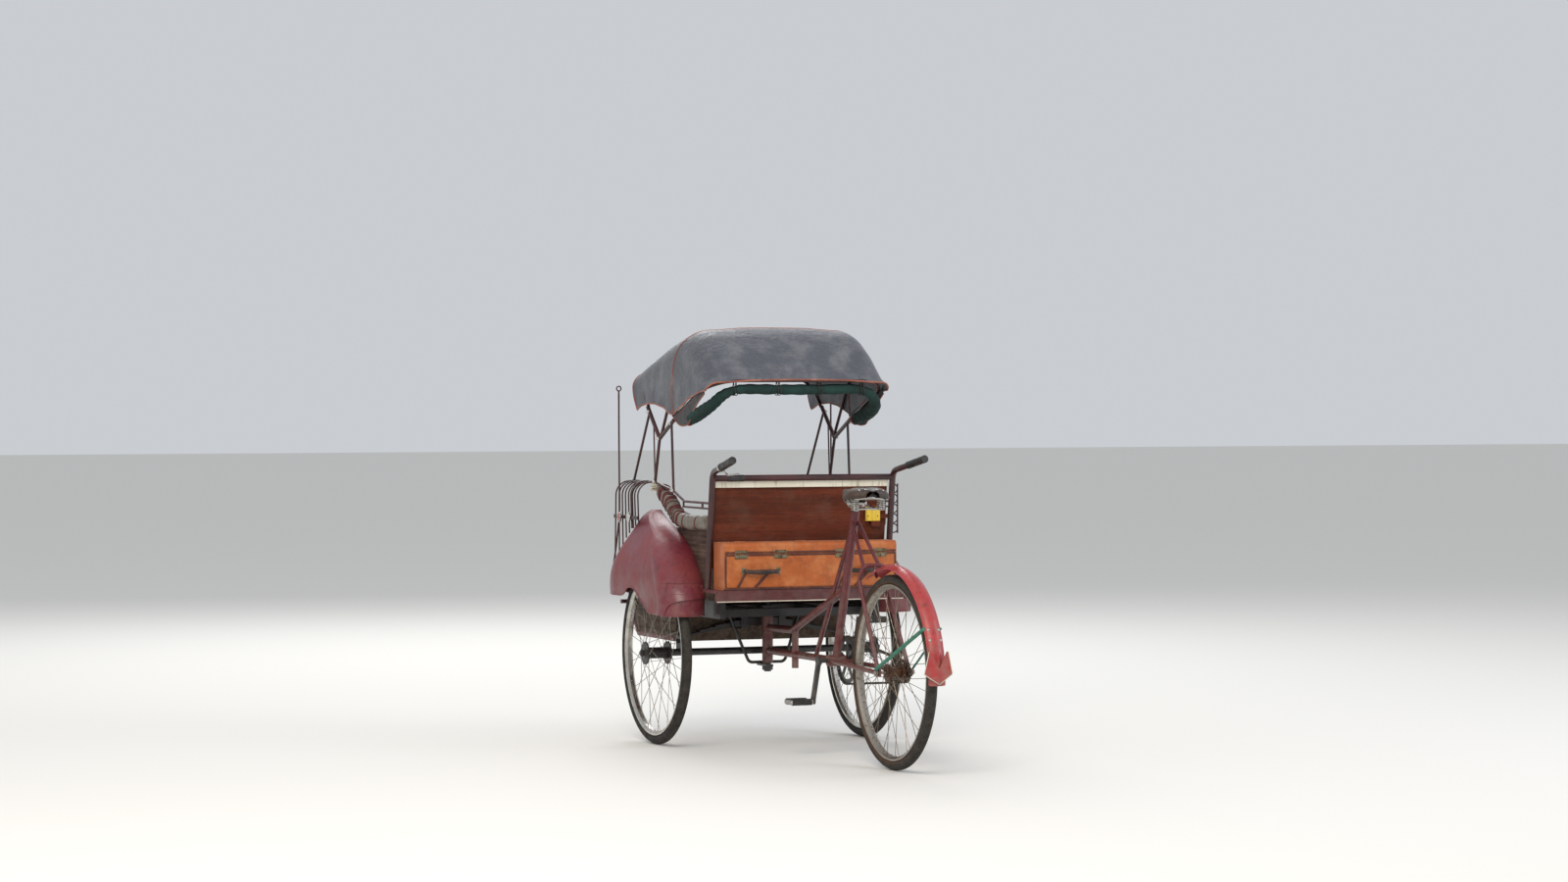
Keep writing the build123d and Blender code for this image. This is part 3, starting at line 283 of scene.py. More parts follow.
def blotches(tree, where, size, low, high, detail=4.0, seed=0.0, stretch=(1, 1, 1)):
    """How much of a patchy mark is at a place: clouds size metres across, nothing under low and all over high."""
    place = add(tree, "ShaderNodeMapping", {
        "Vector": where, "Location": (seed, 2 * seed, 3 * seed), "Scale": [s / size for s in stretch]})
    cloud = add(tree, "ShaderNodeTexNoise", {
        "Vector": place.outputs["Vector"], "Scale": 1.0, "Detail": detail, "Roughness": 0.62})
    return add(tree, "ShaderNodeMapRange", {
        "Value": cloud.outputs["Fac"], "From Min": low, "From Max": high}, interpolation_type="SMOOTHSTEP").outputs[0]


def over(tree, amount, under, top):
    """The top colour laid over the under colour where amount says."""
    return add(tree, "ShaderNodeMix", {0: amount, 6: under, 7: top}, data_type="RGBA").outputs[2]


def product(tree, *values):
    """The values multiplied together."""
    result = values[0]
    for value in values[1:]:
        result = add(tree, "ShaderNodeMath", {0: result, 1: value}, operation="MULTIPLY").outputs[0]
    return result


def made(name, colour, marks, coats, relief, rough=None, metal=None, dusty=None, **sockets):
    """A material on Object coordinates. A mark is a cloud (size, low, high, detail, seed, stretch) or a function
    that makes a pattern. A coat (colour, share, marks) covers what is under it where its marks, multiplied, say.
    dusty lays road dust that thins from its low to its high height in metres. relief lays (mark, depth in metres)
    bumps on each other. rough takes the roughness from a mark between two values and adds shares of others."""
    material, tree, shader, where = begin(name, **sockets)
    found = {key: mark(tree, where) if callable(mark) else blotches(tree, where, *mark)
             for key, mark in marks.items()}
    base = linear(colour)
    for tint, share, *names in coats:
        amount = product(tree, *(found[key] for key in names), *((share,) if share < 1 else ()))
        base = over(tree, amount, base, tint(tree, found, base) if callable(tint) else linear(tint))
    if dusty:
        z = add(tree, "ShaderNodeSeparateXYZ", {"Vector": where}).outputs["Z"]
        fall = add(tree, "ShaderNodeMapRange", {"Value": z, "From Min": dusty[1], "From Max": dusty[0]}).outputs[0]
        cloud = blotches(tree, where, 0.035, 0.3, 0.72, 6.0, 4.0)
        base = over(tree, product(tree, fall, cloud, 0.75), base, linear("7d7263"))
    tree.links.new(base, shader.inputs["Base Color"])
    if rough:
        key, low, high, *extra = rough
        dull = add(tree, "ShaderNodeMapRange", {"Value": found[key], "To Min": low, "To Max": high}).outputs[0]
        for key, share in extra:
            dull = add(tree, "ShaderNodeMath", {0: dull, 1: product(tree, found[key], share)}).outputs[0]
        tree.links.new(dull, shader.inputs["Roughness"])
    if metal:
        tree.links.new(metal(tree, found), shader.inputs["Metallic"])
    bump = {}
    for key, depth in relief:
        bump = {"Normal": add(tree, "ShaderNodeBump", {
            "Height": found[key], "Distance": depth, "Strength": 1.0, **bump}).outputs["Normal"]}
    tree.links.new(bump["Normal"], shader.inputs["Normal"])
    return material


def enamel(name, colour, faded, bare, fade=0.6, chips=0.66, gloss=0.34, dusty=(0.15, 0.75)):
    """Oil enamel brushed by hand on steel and left outdoors: a soft shine, brush marks about 1.5 mm apart,
    chalky faded clouds, runs of dirt, and chips that show what is under it."""
    def dirtied(tree, found, base):
        return add(tree, "ShaderNodeMix", {0: 1.0, 6: base, 7: linear("8a8078")}, data_type="RGBA",
                   blend_type="MULTIPLY").outputs[2]

    marks = {
        "clouds": (0.17, 0.38, 0.68, 4.0, 1.0), "mottle": (0.03, 0.40, 0.75, 6.0, 2.0),
        "runs": (0.016, 0.52, 0.80, 3.0, 3.0, (1, 1, 0.07)), "chip": (0.012, chips, chips + 0.03, 8.0, 5.0),
        "brush": (0.0015, 0.2, 0.8, 2.0, 6.0, (0.08, 1, 0.06))}
    coats = ((faded, fade, "clouds"), (faded, fade * 0.6, "mottle"), (dirtied, 0.8, "runs"), (bare, 1, "chip"))
    return made(name, colour, marks, coats, (("brush", 0.00012), ("chip", -0.00025), ("clouds", 0.0012)),
                rough=("clouds", gloss, min(gloss + 0.3, 0.9), ("chip", 0.35)), dusty=dusty,
                Roughness=gloss, IOR=1.5, Coat_Weight=0.25, Coat_Roughness=0.22)


def plated(name, colour, rust="6a4426", rusty=0.60, rough=(0.22, 0.5)):
    """Plated or bare bright steel that has dulled: metal with a grey film, fine pits and blooms of rust."""
    def bare_metal(tree, found):
        covered = product(tree, found["rust"], 0.95)
        return add(tree, "ShaderNodeMath", {0: 1.0, 1: covered}, operation="SUBTRACT").outputs[0]

    marks = {"film": (0.05, 0.35, 0.7, 4.0, 1.5), "rust": (0.018, rusty, rusty + 0.12, 7.0, 2.5),
             "pits": (0.003, 0.62, 0.7, 3.0, 3.5)}
    return made(name, colour, marks, (("8c867c", 0.5, "film"), (rust, 1, "rust"), ("4a3a2c", 0.5, "pits")),
                (("pits", -0.0001), ("rust", 0.0002)), rough=("film", *rough, ("rust", 0.4)), metal=bare_metal)


def from_axle(tree, where, node):
    """Distance in metres from the axle that runs along X through the middle of a wheel's node."""
    centre = centre_of(node)
    place = add(tree, "ShaderNodeVectorMath", {0: where, 1: (0.0, centre[1], centre[2])}, operation="SUBTRACT")
    flat = add(tree, "ShaderNodeVectorMath", {0: place.outputs[0], 1: (0.0, 1.0, 1.0)}, operation="MULTIPLY")
    return add(tree, "ShaderNodeVectorMath", {0: flat.outputs[0]}, operation="LENGTH").outputs["Value"]


def hub_and_spokes(name, node, flange, shell, spoke="9a958c", metal=0.0):
    """One turned hub with its laced spokes: enamelled or bare shell inside the flange's radius, drawn
    steel wire outside it, with old grease round the barrel and rust on the wire."""
    def outside(tree, where):
        return add(tree, "ShaderNodeMath", {0: from_axle(tree, where, node), 1: flange},
                   operation="GREATER_THAN").outputs[0]

    def thread(tree, found, base):
        return over(tree, found["rust"], linear(spoke), linear("6f5138"))

    def drawn(tree, found):
        return add(tree, "ShaderNodeMapRange", {"Value": found["wire"], "To Min": metal, "To Max": 0.85}).outputs[0]

    marks = {"wire": outside, "grease": (0.014, 0.42, 0.7, 6.0), "rust": (0.02, 0.5, 0.66, 7.0, 2.0)}
    return made(name, shell, marks, (("33291f", 1, "grease"), (thread, 1, "wire")), (("grease", 0.0003),),
                rough=("grease", 0.34, 0.6), metal=drawn, IOR=1.5)


def tyre_rubber(name, node, wall="201e1c", edge=(0.345, 0.3505)):
    """Vulcanised rubber: matt and nearly black, the tread greyed by road dust, the side wall its own colour."""
    def crown(tree, where):
        return add(tree, "ShaderNodeMapRange", {
            "Value": from_axle(tree, where, node), "From Min": edge[0], "From Max": edge[1]}).outputs[0]

    marks = {"crown": crown, "dusty": (0.03, 0.35, 0.75, 7.0), "scuffs": (0.006, 0.5, 0.75, 5.0, 3.0),
             "grain": (0.0012, 0.3, 0.7, 2.0, 5.0)}
    coats = (("2a2724", 1, "crown"), ("6b6154", 0.22, "dusty"), ("5d554b", 0.5, "scuffs", "crown"))
    return made(name, wall, marks, coats, (("grain", 0.00008), ("dusty", 0.0001)),
                Roughness=0.82, IOR=1.52, Specular_IOR_Level=0.35)


def weathered_wood(name, pale, dark, along, bands=0.011, aged=0.4):
    """Old board, once stained and now grey where the sun and rain reach it: grain lines bands metres apart that
    run the way along says, open pores, and cracks."""
    long_way = [0.05 if k == along else 1.0 for k in range(3)]
    marks = {"warp": (0.12, 0.2, 0.8, 4.0, 1.0), "grain": (bands, 0.34, 0.66, 5.0, 2.0, long_way),
             "pores": (0.0022, 0.5, 0.72, 3.0, 3.0, long_way), "grey": (0.09, 0.42, 0.72, 5.0, 4.0)}
    coats = ((dark, 1, "grain"), ("20120c", 0.7, "pores"), (dark, 0.25, "warp"), ("7c6d5f", aged, "grey"))
    return made(name, pale, marks, coats, (("pores", -0.0004), ("grain", 0.0005)), dusty=(0.35, 0.7),
                Roughness=0.78, IOR=1.45, Specular_IOR_Level=0.3)


def cells(size, feature="F1"):
    """A mark of rounded cells, each size metres across."""
    return lambda tree, where: add(
        tree, "ShaderNodeTexVoronoi", {"Vector": where, "Scale": 1 / size}, feature=feature).outputs["Distance"]


def coated_cloth(name, colour, worn, grain=0.0016, wear=0.5, gloss=0.42, dark="2a2422"):
    """Vinyl-coated cloth or leatherette: a fine pebbled skin with cells grain metres across, creases that have
    caught dirt, and patches rubbed to another colour."""
    marks = {"cells": cells(grain, "SMOOTH_F1"), "rubbed": (0.09, 0.42, 0.72, 6.0, 1.0),
             "dirt": (0.05, 0.48, 0.8, 7.0, 2.0), "specks": (0.006, 0.68, 0.74, 4.0, 3.0),
             "creases": (0.03, 0.3, 0.7, 5.0, 4.0)}
    coats = ((worn, wear, "rubbed"), (dark, 0.45, "dirt"), (worn, 0.5, "specks"))
    return made(name, colour, marks, coats, (("cells", 0.00022), ("creases", 0.0016)),
                rough=("rubbed", gloss, gloss + 0.25), IOR=1.46, Roughness=gloss, Sheen_Weight=0.1,
                Sheen_Roughness=0.5)


def woven_cloth(name, colour, worn, thread=0.0016, dark="0c1615"):
    """Plain-woven cotton, washed out by the sun: threads over and under each other on the piece's own UV map,
    whose unit is a metre, drawn a little coarser than real so that they show."""
    def weave(tree, where):
        surface = add(tree, "ShaderNodeUVMap", uv_map="Surface").outputs["UV"]
        return product(tree, *(add(tree, "ShaderNodeTexWave", {
            "Vector": surface, "Scale": WAVE_SPACING / thread, "Distortion": 0.5}, bands_direction=way).outputs["Fac"]
            for way in "XY"))

    marks = {"weave": weave, "sun": (0.06, 0.4, 0.7, 6.0), "stains": (0.035, 0.5, 0.8, 7.0, 2.0)}
    return made(name, colour, marks, ((worn, 0.5, "sun"), (dark, 0.6, "stains"), (worn, 0.25, "weave")),
                (("weave", 0.0002), ("stains", 0.0008)), Roughness=0.9, Sheen_Weight=0.15, Sheen_Roughness=0.45,
                Sheen_Tint=linear(worn))


def plain_rubber(name, colour="1c1b1b", gloss=0.55):
    """Moulded or taped black rubber: soft shine where hands rub it, grey dust elsewhere."""
    marks = {"rub": (0.02, 0.4, 0.7, 6.0), "grain": (0.002, 0.3, 0.7, 3.0, 2.0)}
    return made(name, colour, marks, (("5a554e", 0.35, "rub"),), (("grain", 0.0001),),
                rough=("rub", gloss - 0.15, gloss + 0.25), Roughness=gloss, IOR=1.52)


def reflector_plastic(name, colour, deep="2a0606"):
    """Moulded acrylic reflector: clear bright plastic over a honeycomb of prisms 2.5 mm across."""
    return made(name, colour, {"cells": cells(0.0025)}, ((deep, 1, "cells"),), (("cells", 0.0005),),
                Roughness=0.12, IOR=1.49, Coat_Weight=1.0, Coat_Roughness=0.05)


def taped(name, colour):
    """Plastic tape wound round a bar: overlapping turns with dirty edges, each TAPE_TURN metres along Z."""
    def turns(tree, where):
        return add(tree, "ShaderNodeTexWave", {
            "Vector": where, "Scale": WAVE_SPACING / TAPE_TURN, "Distortion": 1.2, "Detail": 1.0},
            bands_direction="Z", wave_profile="SAW").outputs["Fac"]

    return made(name, colour, {"turns": turns, "grime": (0.02, 0.45, 0.75, 6.0)},
                (("133a30", 0.5, "turns"), ("5c5a50", 0.5, "grime")), (("turns", 0.0006),), Roughness=0.42, IOR=1.5)


# -------------------------------------------------------------- settings


def paint_property(name, description, hex_colour):
    """A colour setting in the sidebar, its default an sRGB hex colour."""
    return bpy.props.FloatVectorProperty(
        name=name, description=description, subtype="COLOR", size=4, min=0.0, max=1.0, default=linear(hex_colour))


class RickshawColours(bpy.types.PropertyGroup):
    """The paints and cloths that an owner would choose."""

    cab_paint: paint_property("Cab paint", "Enamel on the fenders and the cab's sheet steel", "6c2230")
    guard_paint: paint_property("Guard paint", "Enamel on the rear mudguard", "a11b22")
    hood_vinyl: paint_property("Hood", "Coated cloth of the hood", "4b4e57")
    piping: paint_property("Piping", "Binding along the hood's edges", "83402f")
    roll_cloth: paint_property("Rolled curtain", "Cotton of the rear curtain", "0a2622")
    trunk_leather: paint_property("Trunk", "Leatherette of the rear trunk", "a9561f")


class RickshawSizes(bpy.types.PropertyGroup):
    """The sizes of the soft and worn parts that a user would change."""

    hood_sag: bpy.props.FloatProperty(
        name="Hood sag", description="How far the cover hangs in between its bows", default=0.014,
        min=0.0, max=0.03, unit="LENGTH", subtype="DISTANCE")
    cushion_crown: bpy.props.FloatProperty(
        name="Cushion crown", description="How far the seat swells over its edges", default=0.016,
        min=0.0, max=0.03, unit="LENGTH", subtype="DISTANCE")
    tread_depth: bpy.props.FloatProperty(
        name="Tread depth", description="Depth of the tyres' grooves", default=0.0016,
        min=0.0, max=0.004, unit="LENGTH", subtype="DISTANCE")


def sizes():
    """The scene's size settings."""
    return bpy.context.scene.rickshaw_sizes


FINISHES = {}


def finish(name):
    """The finish of that name, made when it is first asked for."""
    if name not in FINISHES:
        FINISHES[name] = RECIPES[name]()
    return FINISHES[name]


def centre_of(node):
    """Middle of a CAD node's box."""
    low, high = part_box(node)
    return tuple((low + high) / 2)


def chosen(setting):
    """A colour setting, which is linear, as an sRGB hex string."""
    value = np.array(getattr(bpy.context.scene.rickshaw_colours, setting)[:3])
    value = np.where(value <= 0.0031308, value * 12.92, 1.055 * value ** (1 / 2.4) - 0.055)
    return "".join(f"{int(round(float(v) * 255)):02x}" for v in value)


RECIPES = {
    "left tyre": lambda: tyre_rubber("Vulcanised rubber, left", "front_left_tyre"),
    "right tyre": lambda: tyre_rubber("Vulcanised rubber, right", "front_right_tyre"),
    "rear tyre": lambda: tyre_rubber("Vulcanised rubber, rear", "rear_tyre", wall="4d3524",
                                      edge=(0.327, 0.333)),
    "chrome": lambda: plated("Dulled chrome plating", "c9c6c0"),
    "old rim": lambda: plated("Worn rim steel", "aaa49a", rust="6a4a30", rusty=0.56, rough=(0.3, 0.6)),
    "left hub": lambda: hub_and_spokes(
        "Enamelled hub and wire, left", "front_left_hub", 0.0465, "1d1c1d"),
    "right hub": lambda: hub_and_spokes(
        "Enamelled hub and wire, right", "front_right_hub", 0.0465, "1d1c1d"),
    "rear hub": lambda: hub_and_spokes(
        "Rusty hub and wire", "rear_hub", 0.0495, "5a3a26", spoke="857b6e", metal=0.4),
    "chassis": lambda: enamel("Chassis enamel", "1b1a1b", "3a3633", "4a3426", chips=0.66, dusty=(0.0, 0.42)),
    "cab paint": lambda: enamel("Cab enamel", chosen("cab_paint"), "8a2f2c", "5a2f24",
                                fade=0.45, chips=0.69, gloss=0.42),
    # The sill is the cab's maroon enamel darkened to stand for the shadow it lies in: painted shade, not a paint of
    # its own.
    "sill paint darkened as painted shade": lambda: enamel("Sill enamel", "4a151d", "6b2c2c", "33241e", fade=0.35, chips=0.66),
    "irons": lambda: enamel("Ironwork enamel", "2c0e11", "512625", "2e1f19", chips=0.64),
    "frame red": lambda: enamel("Frame enamel", "55121a", "7c3232", "2b1c17", fade=0.35, chips=0.60, gloss=0.36),
    "guard paint": lambda: enamel("Mudguard enamel", chosen("guard_paint"), "b8423f", "4e2c22",
                                  fade=0.4, chips=0.68, gloss=0.26),
    "green tape": lambda: taped("Plastic tape", "2d826a"),
    "wood": lambda: weathered_wood("Weathered board", "685448", "40302a", along=1),
    "panel wood": lambda: weathered_wood("Varnished mahogany board", "6b301b", "4f2210", along=0,
                                          bands=0.034, aged=0.12),
    "seat vinyl": lambda: coated_cloth("Cushion leatherette", "5f2220", "7d4038", wear=0.5),
    "trunk leather": lambda: coated_cloth("Trunk leatherette", chosen("trunk_leather"), "d08a52",
                                          grain=0.0022, wear=0.45, gloss=0.36, dark="5c2c18"),
    "binding": lambda: coated_cloth("Binding leather", "4a2116", "84492b", grain=0.0018, wear=0.6, dark="1f100b"),
    "brass": lambda: plated("Tarnished plating", "8f8468", rust="4f3a22", rusty=0.5, rough=(0.3, 0.55)),
    "cream": lambda: enamel("Cream enamel", "e2ddcb", "cfc6ae", "6d4a36", fade=0.5, chips=0.66),
    "armrest": lambda: coated_cloth("Armrest vinyl", "6f675c", "4d443b", wear=0.75, dark="2f2822"),
    "hood": lambda: coated_cloth("Hood vinyl", chosen("hood_vinyl"), "85868a", wear=0.5, gloss=0.46,
                                 dark="3a3a3d"),
    "piping": lambda: coated_cloth("Piping vinyl", chosen("piping"), "cf8a6e", wear=0.6, dark="5c2a20"),
    "red cord": lambda: woven_cloth("Red binding cord", "5c2226", "7d4a48", thread=0.002, dark="1e0d0c"),
    "red band": lambda: woven_cloth("Red cotton tape", "b3262c", "d0605a", thread=0.002, dark="4a1216"),
    "pale rope": lambda: woven_cloth("Pale cotton rope", "b9ae96", "d8cfb8", thread=0.002, dark="4c4336"),
    "lining": lambda: coated_cloth("Hood lining", "26272a", "3c3d40", wear=0.4, gloss=0.6),
    "roll": lambda: woven_cloth("Curtain cotton", chosen("roll_cloth"), "1b443d"),
    "rubber": lambda: plain_rubber("Moulded rubber"),
    "bright": lambda: plated("Worn bright steel", "c4c2be", rusty=0.62, rough=(0.16, 0.4)),
    "reflectors": lambda: reflector_plastic("Moulded acrylic", "c01c1a"),
    "clear lens": lambda: reflector_plastic("Clear acrylic", "dcdcd6", "8c8c88"),
    "dark gap": lambda: plain_rubber("Dirt in the joints", "1a1311", 0.85),
    "plate": lambda: enamel("Plate enamel", "dcb92e", "c9b25a", "7a5a34", fade=0.5, chips=0.68),
    "saddle": lambda: coated_cloth("Saddle leather", "2a1c15", "4f3a2a", grain=0.0018, wear=0.7, gloss=0.34),
    "chain": lambda: plated("Oiled chain steel", "5b534a", rust="33271c", rusty=0.46, rough=(0.35, 0.6)),
}

NODE_FINISHES = {
    "left tyre": "front_left_tyre",
    "right tyre": "front_right_tyre",
    "rear tyre": "rear_tyre",
    "chrome": "front_left_rim front_right_rim",
    "old rim": "rear_rim rear_spindle",
    "left hub": "front_left_hub",
    "right hub": "front_right_hub",
    "rear hub": "rear_hub",
    "chassis": "front_axle leaf_spring chassis kingpin stop_hoop crankset",
    "wood": "foot_boards tub_side_left tub_side_right seat_box",
    "irons": (
        "front_bar push_frame side_ribs_left side_ribs_right whip_rods hood_irons_left "
        "hood_irons_right hood_bows curtain_straps post_scroll saddle_frame"),
    "seat vinyl": "seat_cushion back_cushion",
    # The rear sill gets the cab maroon darkened as painted shade.
    "sill paint darkened as painted shade": "rear_sill",
    "rubber": "handle_grips pedal_left pedal_right",
    "panel wood": "back_panel number_board",
    "cream": "back_strip",
    "trunk leather": "rear_trunk trunk_lid",
    "brass": "lid_hasps trunk_fittings",
    "armrest": "armrest_left armrest_right",
    "cab paint": "fender_left fender_right",
    "reflectors": "reflectors",
    "hood": "hood_cover",
    "roll": "curtain_roll",
    "plate": "number_plate",
    "bright": "brake_lever seat_post",
    "frame red": "rear_frame",
    "guard paint": "rear_mudguard mud_flap",
    "green tape": "mudguard_stays",
    "saddle": "saddle",
    "chain": "chain",
}


FLOOR_HALF = 60.0
SKY_STRENGTH = 0.72
LAMPS = (
    # name, place, diameter, power, colour
    ("key", (-4.5, -6.0, 6.5), 5.0, 480.0, "fff6ea"),
    ("fill", (6.5, -4.0, 4.0), 5.0, 190.0, "eef3ff"),
    ("rim", (1.0, 7.0, 6.0), 5.0, 300.0, "ffffff"),
)
LAMPS_AIM = Vector((0, 0, 0.8))


class RICKSHAW_OT_stage(bpy.types.Operator):
    """Lays the pale floor, hangs the soft studio lights and sets up the camera."""

    bl_idname = "rickshaw.stage"
    bl_label = "Stage"

    def execute(self, context):
        scene = context.scene
        corners = FLOOR_HALF * np.array([(-1, -1, 0), (1, -1, 0), (1, 1, 0), (-1, 1, 0)])
        mesh = mesh_of("floor", corners, [np.array([[0, 1, 2, 3]])])
        floor = bpy.data.objects.new("floor", mesh)
        scene.collection.objects.link(floor)
        material = begin("Studio floor, matt paint", Roughness=0.9, Base_Color=linear("e6e4df"))[0]
        mesh.materials.append(material)

        world = bpy.data.worlds.new("Studio")
        world.use_nodes = True
        sky = world.node_tree.nodes["Background"]
        sky.inputs["Color"].default_value = linear("e9edf2")
        sky.inputs["Strength"].default_value = SKY_STRENGTH
        scene.world = world
        scene.view_settings.view_transform = "Standard"

        for name, place, size, power, colour in LAMPS:
            light = bpy.data.lights.new(name, "AREA")
            light.shape = "DISK"
            light.size = size
            light.energy = power
            light.color = linear(colour)[:3]
            lamp = bpy.data.objects.new(name, light)
            lamp.location = place
            lamp.rotation_euler = (LAMPS_AIM - Vector(place)).to_track_quat("-Z", "Y").to_euler()
            scene.collection.objects.link(lamp)

        view = bpy.data.cameras.new("camera")
        view.sensor_width = 36.0
        view.lens = LENS
        view.clip_end = 200.0
        camera = bpy.data.objects.new("camera", view)
        camera.location = CAMERA_PLACE
        camera.rotation_euler = Vector(CAMERA_AIM).to_track_quat("-Z", "Y").to_euler()
        scene.collection.objects.link(camera)
        scene.camera = camera
        return {"FINISHED"}


class RICKSHAW_OT_frame_finishes(bpy.types.Operator):
    """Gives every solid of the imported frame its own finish."""

    bl_idname = "rickshaw.frame_finishes"
    bl_label = "Frame finishes"

    def execute(self, context):
        for look, nodes in NODE_FINISHES.items():
            for node in nodes.split():
                slots = NODES[node].data.materials
                slots.clear()
                slots.append(finish(look))
        return {"FINISHED"}


# ---------------------------------------------------------------- small shapes


def plate_outline(half_a, half_b, corner, steps=5):
    """A rectangle's outline with round corners, as (a, b) offsets counted anticlockwise."""
    turn = np.linspace(0, math.pi / 2, steps)
    places = []
    for quarter, (sa, sb) in enumerate(((1, 1), (-1, 1), (-1, -1), (1, -1))):
        angle = turn + quarter * math.pi / 2
        places.append(np.stack([
            sa * (half_a - corner) + corner * np.cos(angle), sb * (half_b - corner) + corner * np.sin(angle)], 1))
    return np.concatenate(places)


def plate(shell, centre, across, up, half_a, half_b, corner, thick, edge=0.0006):
    """A pressed plate with round corners and edges, lying on across and up and growing thick along their cross."""
    across, up = unit(np.asarray(across, float)), unit(np.asarray(up, float))
    out = np.cross(across, up)
    rows = []
    for depth, inset in ((0, edge), (edge, 0), (thick - edge, 0), (thick - 0.3 * edge, 0.3 * edge), (thick, edge)):
        rim = plate_outline(half_a - inset, half_b - inset, max(corner - inset, 1e-5))
        rows.append(np.asarray(centre) + rim[:, :1] * across + rim[:, 1:] * up + depth * out)
    shell.grid(np.stack(rows))


def turned(shell, centre, axis, profile, sides=24):
    """A turned piece: a profile of (along, radius) rows in metres spun round an axis from centre."""
    axis = unit(np.asarray(axis, float))
    side = unit(np.cross(axis, (0.31, 0.52, 0.79)))
    other = np.cross(axis, side)
    turn = full_turn(sides)
    rim = np.cos(turn)[:, None] * side + np.sin(turn)[:, None] * other
    rows = [np.asarray(centre) + along * axis + radius * rim for along, radius in profile]
    shell.grid(np.stack(rows))


def bolt(shell, centre, axis, radius, height):
    """A domed bolt head on its washer, standing on centre along axis."""
    turned(shell, centre, axis, [
        (-0.0005, radius * 1.5), (0.0008, radius * 1.5), (0.001, radius * 1.35), (0.001, radius),
        (height * 0.55, radius), (height * 0.85, radius * 0.8), (height, radius * 0.45)], sides=16)


BEND_STEPS = 6


def rounded_path(corners, radius):
    """A path through corners whose bends are arcs tangent to both legs, radius metres or what the legs allow."""
    corners = [np.asarray(c, float) for c in corners]
    path = [corners[0]]
    for before, corner, after in zip(corners, corners[1:], corners[2:]):
        a, b = unit(before - corner), unit(after - corner)
        reach = min(radius, 0.45 * np.linalg.norm(before - corner), 0.45 * np.linalg.norm(after - corner))
        for t in np.linspace(0, 1, BEND_STEPS):
            path.append(corner + reach * ((1 - t) ** 2 * a + t**2 * b))
    path.append(corners[-1])
    return np.array(path)


# ---------------------------------------------------------------- wheels


WHEELS = (
    # wheel, finish of its tyre, slot of its rim
    ("front_left", "left tyre", "rim_chrome"), ("front_right", "right tyre", "rim_chrome"),
    ("rear", "rear tyre", "rim_old"),
)
TYRE_R = 355.0
TYRE_HALF = 19.0
BLOCKS = 168
# Places round the tyre's section, in radians from the middle of the tread
GROOVE_AT, GROOVE_SWING, GROOVE_WIDTH = 0.19, 0.035, 0.045
SLOTS_FROM, SLOTS_TO = 0.34, 0.86
SLOT_SLANT, SLOT_LEVEL = 5.0, 0.45
WALL_LINE, WALL_LINE_AT, WALL_LINE_WIDTH = 0.5, 1.25, 0.04
TUCK, TUCK_FROM = 0.10, 1.9
BEAD_AT = 2.52


def tyre_skin(centre, depth):
    """A tyre's skin on two turns: a along the wheel and b round the section. The section is a circle whose
    radius swells from the beads to the shoulder; between the shoulders a zigzag groove beside the middle rib
    and slanted slots from the shoulders are cut depth deep, each by a smoothed square wave."""
    a = full_turn(BLOCKS * 4)[:, None]
    b = np.linspace(-BEAD_AT, BEAD_AT, 44)[None, :]
    off = np.abs(b)
    zig = GROOVE_AT + GROOVE_SWING * np.sign(np.sin(a * BLOCKS))
    groove = np.exp(-(((off - zig) / GROOVE_WIDTH) ** 4))
    slot = (np.sin(a * BLOCKS + SLOT_SLANT * off) > SLOT_LEVEL) * (off > SLOTS_FROM) * (off < SLOTS_TO)
    wall_line = WALL_LINE * np.exp(-(((off - WALL_LINE_AT) / WALL_LINE_WIDTH) ** 2))
    section = TYRE_HALF - depth / MM * np.maximum(groove, slot) + wall_line
    section = section * (1 - TUCK * np.clip(off - TUCK_FROM, 0, None))
    radius = (TYRE_R - TYRE_HALF - 0.5 + section * np.cos(b)) * MM
    x = centre[0] + np.clip(section * np.sin(b), -TYRE_HALF, TYRE_HALF) * MM
    grid = np.stack([x, centre[1] + radius * np.cos(a), centre[2] + radius * np.sin(a)], -1)
    return Shell().grid(grid, round_rows=True, flip=True)


class RICKSHAW_OT_tyres(bpy.types.Operator):
    """Makes the three treaded tyres that stand for the plain ones of the frame."""

    bl_idname = "rickshaw.tyres"
    bl_label = "Tyres"

    def execute(self, context):
        for wheel, look, _ in WHEELS:
            skin = tyre_skin(centre_of(f"{wheel}_tyre"), sizes().tread_depth)
            piece(f"{wheel}_tread", skin, f"{wheel}_wheel", look, "tyre", f"{wheel}_tyre", sharp=38)
        return {"FINISHED"}


SPOKES = 36
NIPPLE_R = 312.5
SPOKE_SIDE = 7.0
VALVE_LENGTH = 42.0
VALVE_ANGLE = 0.7


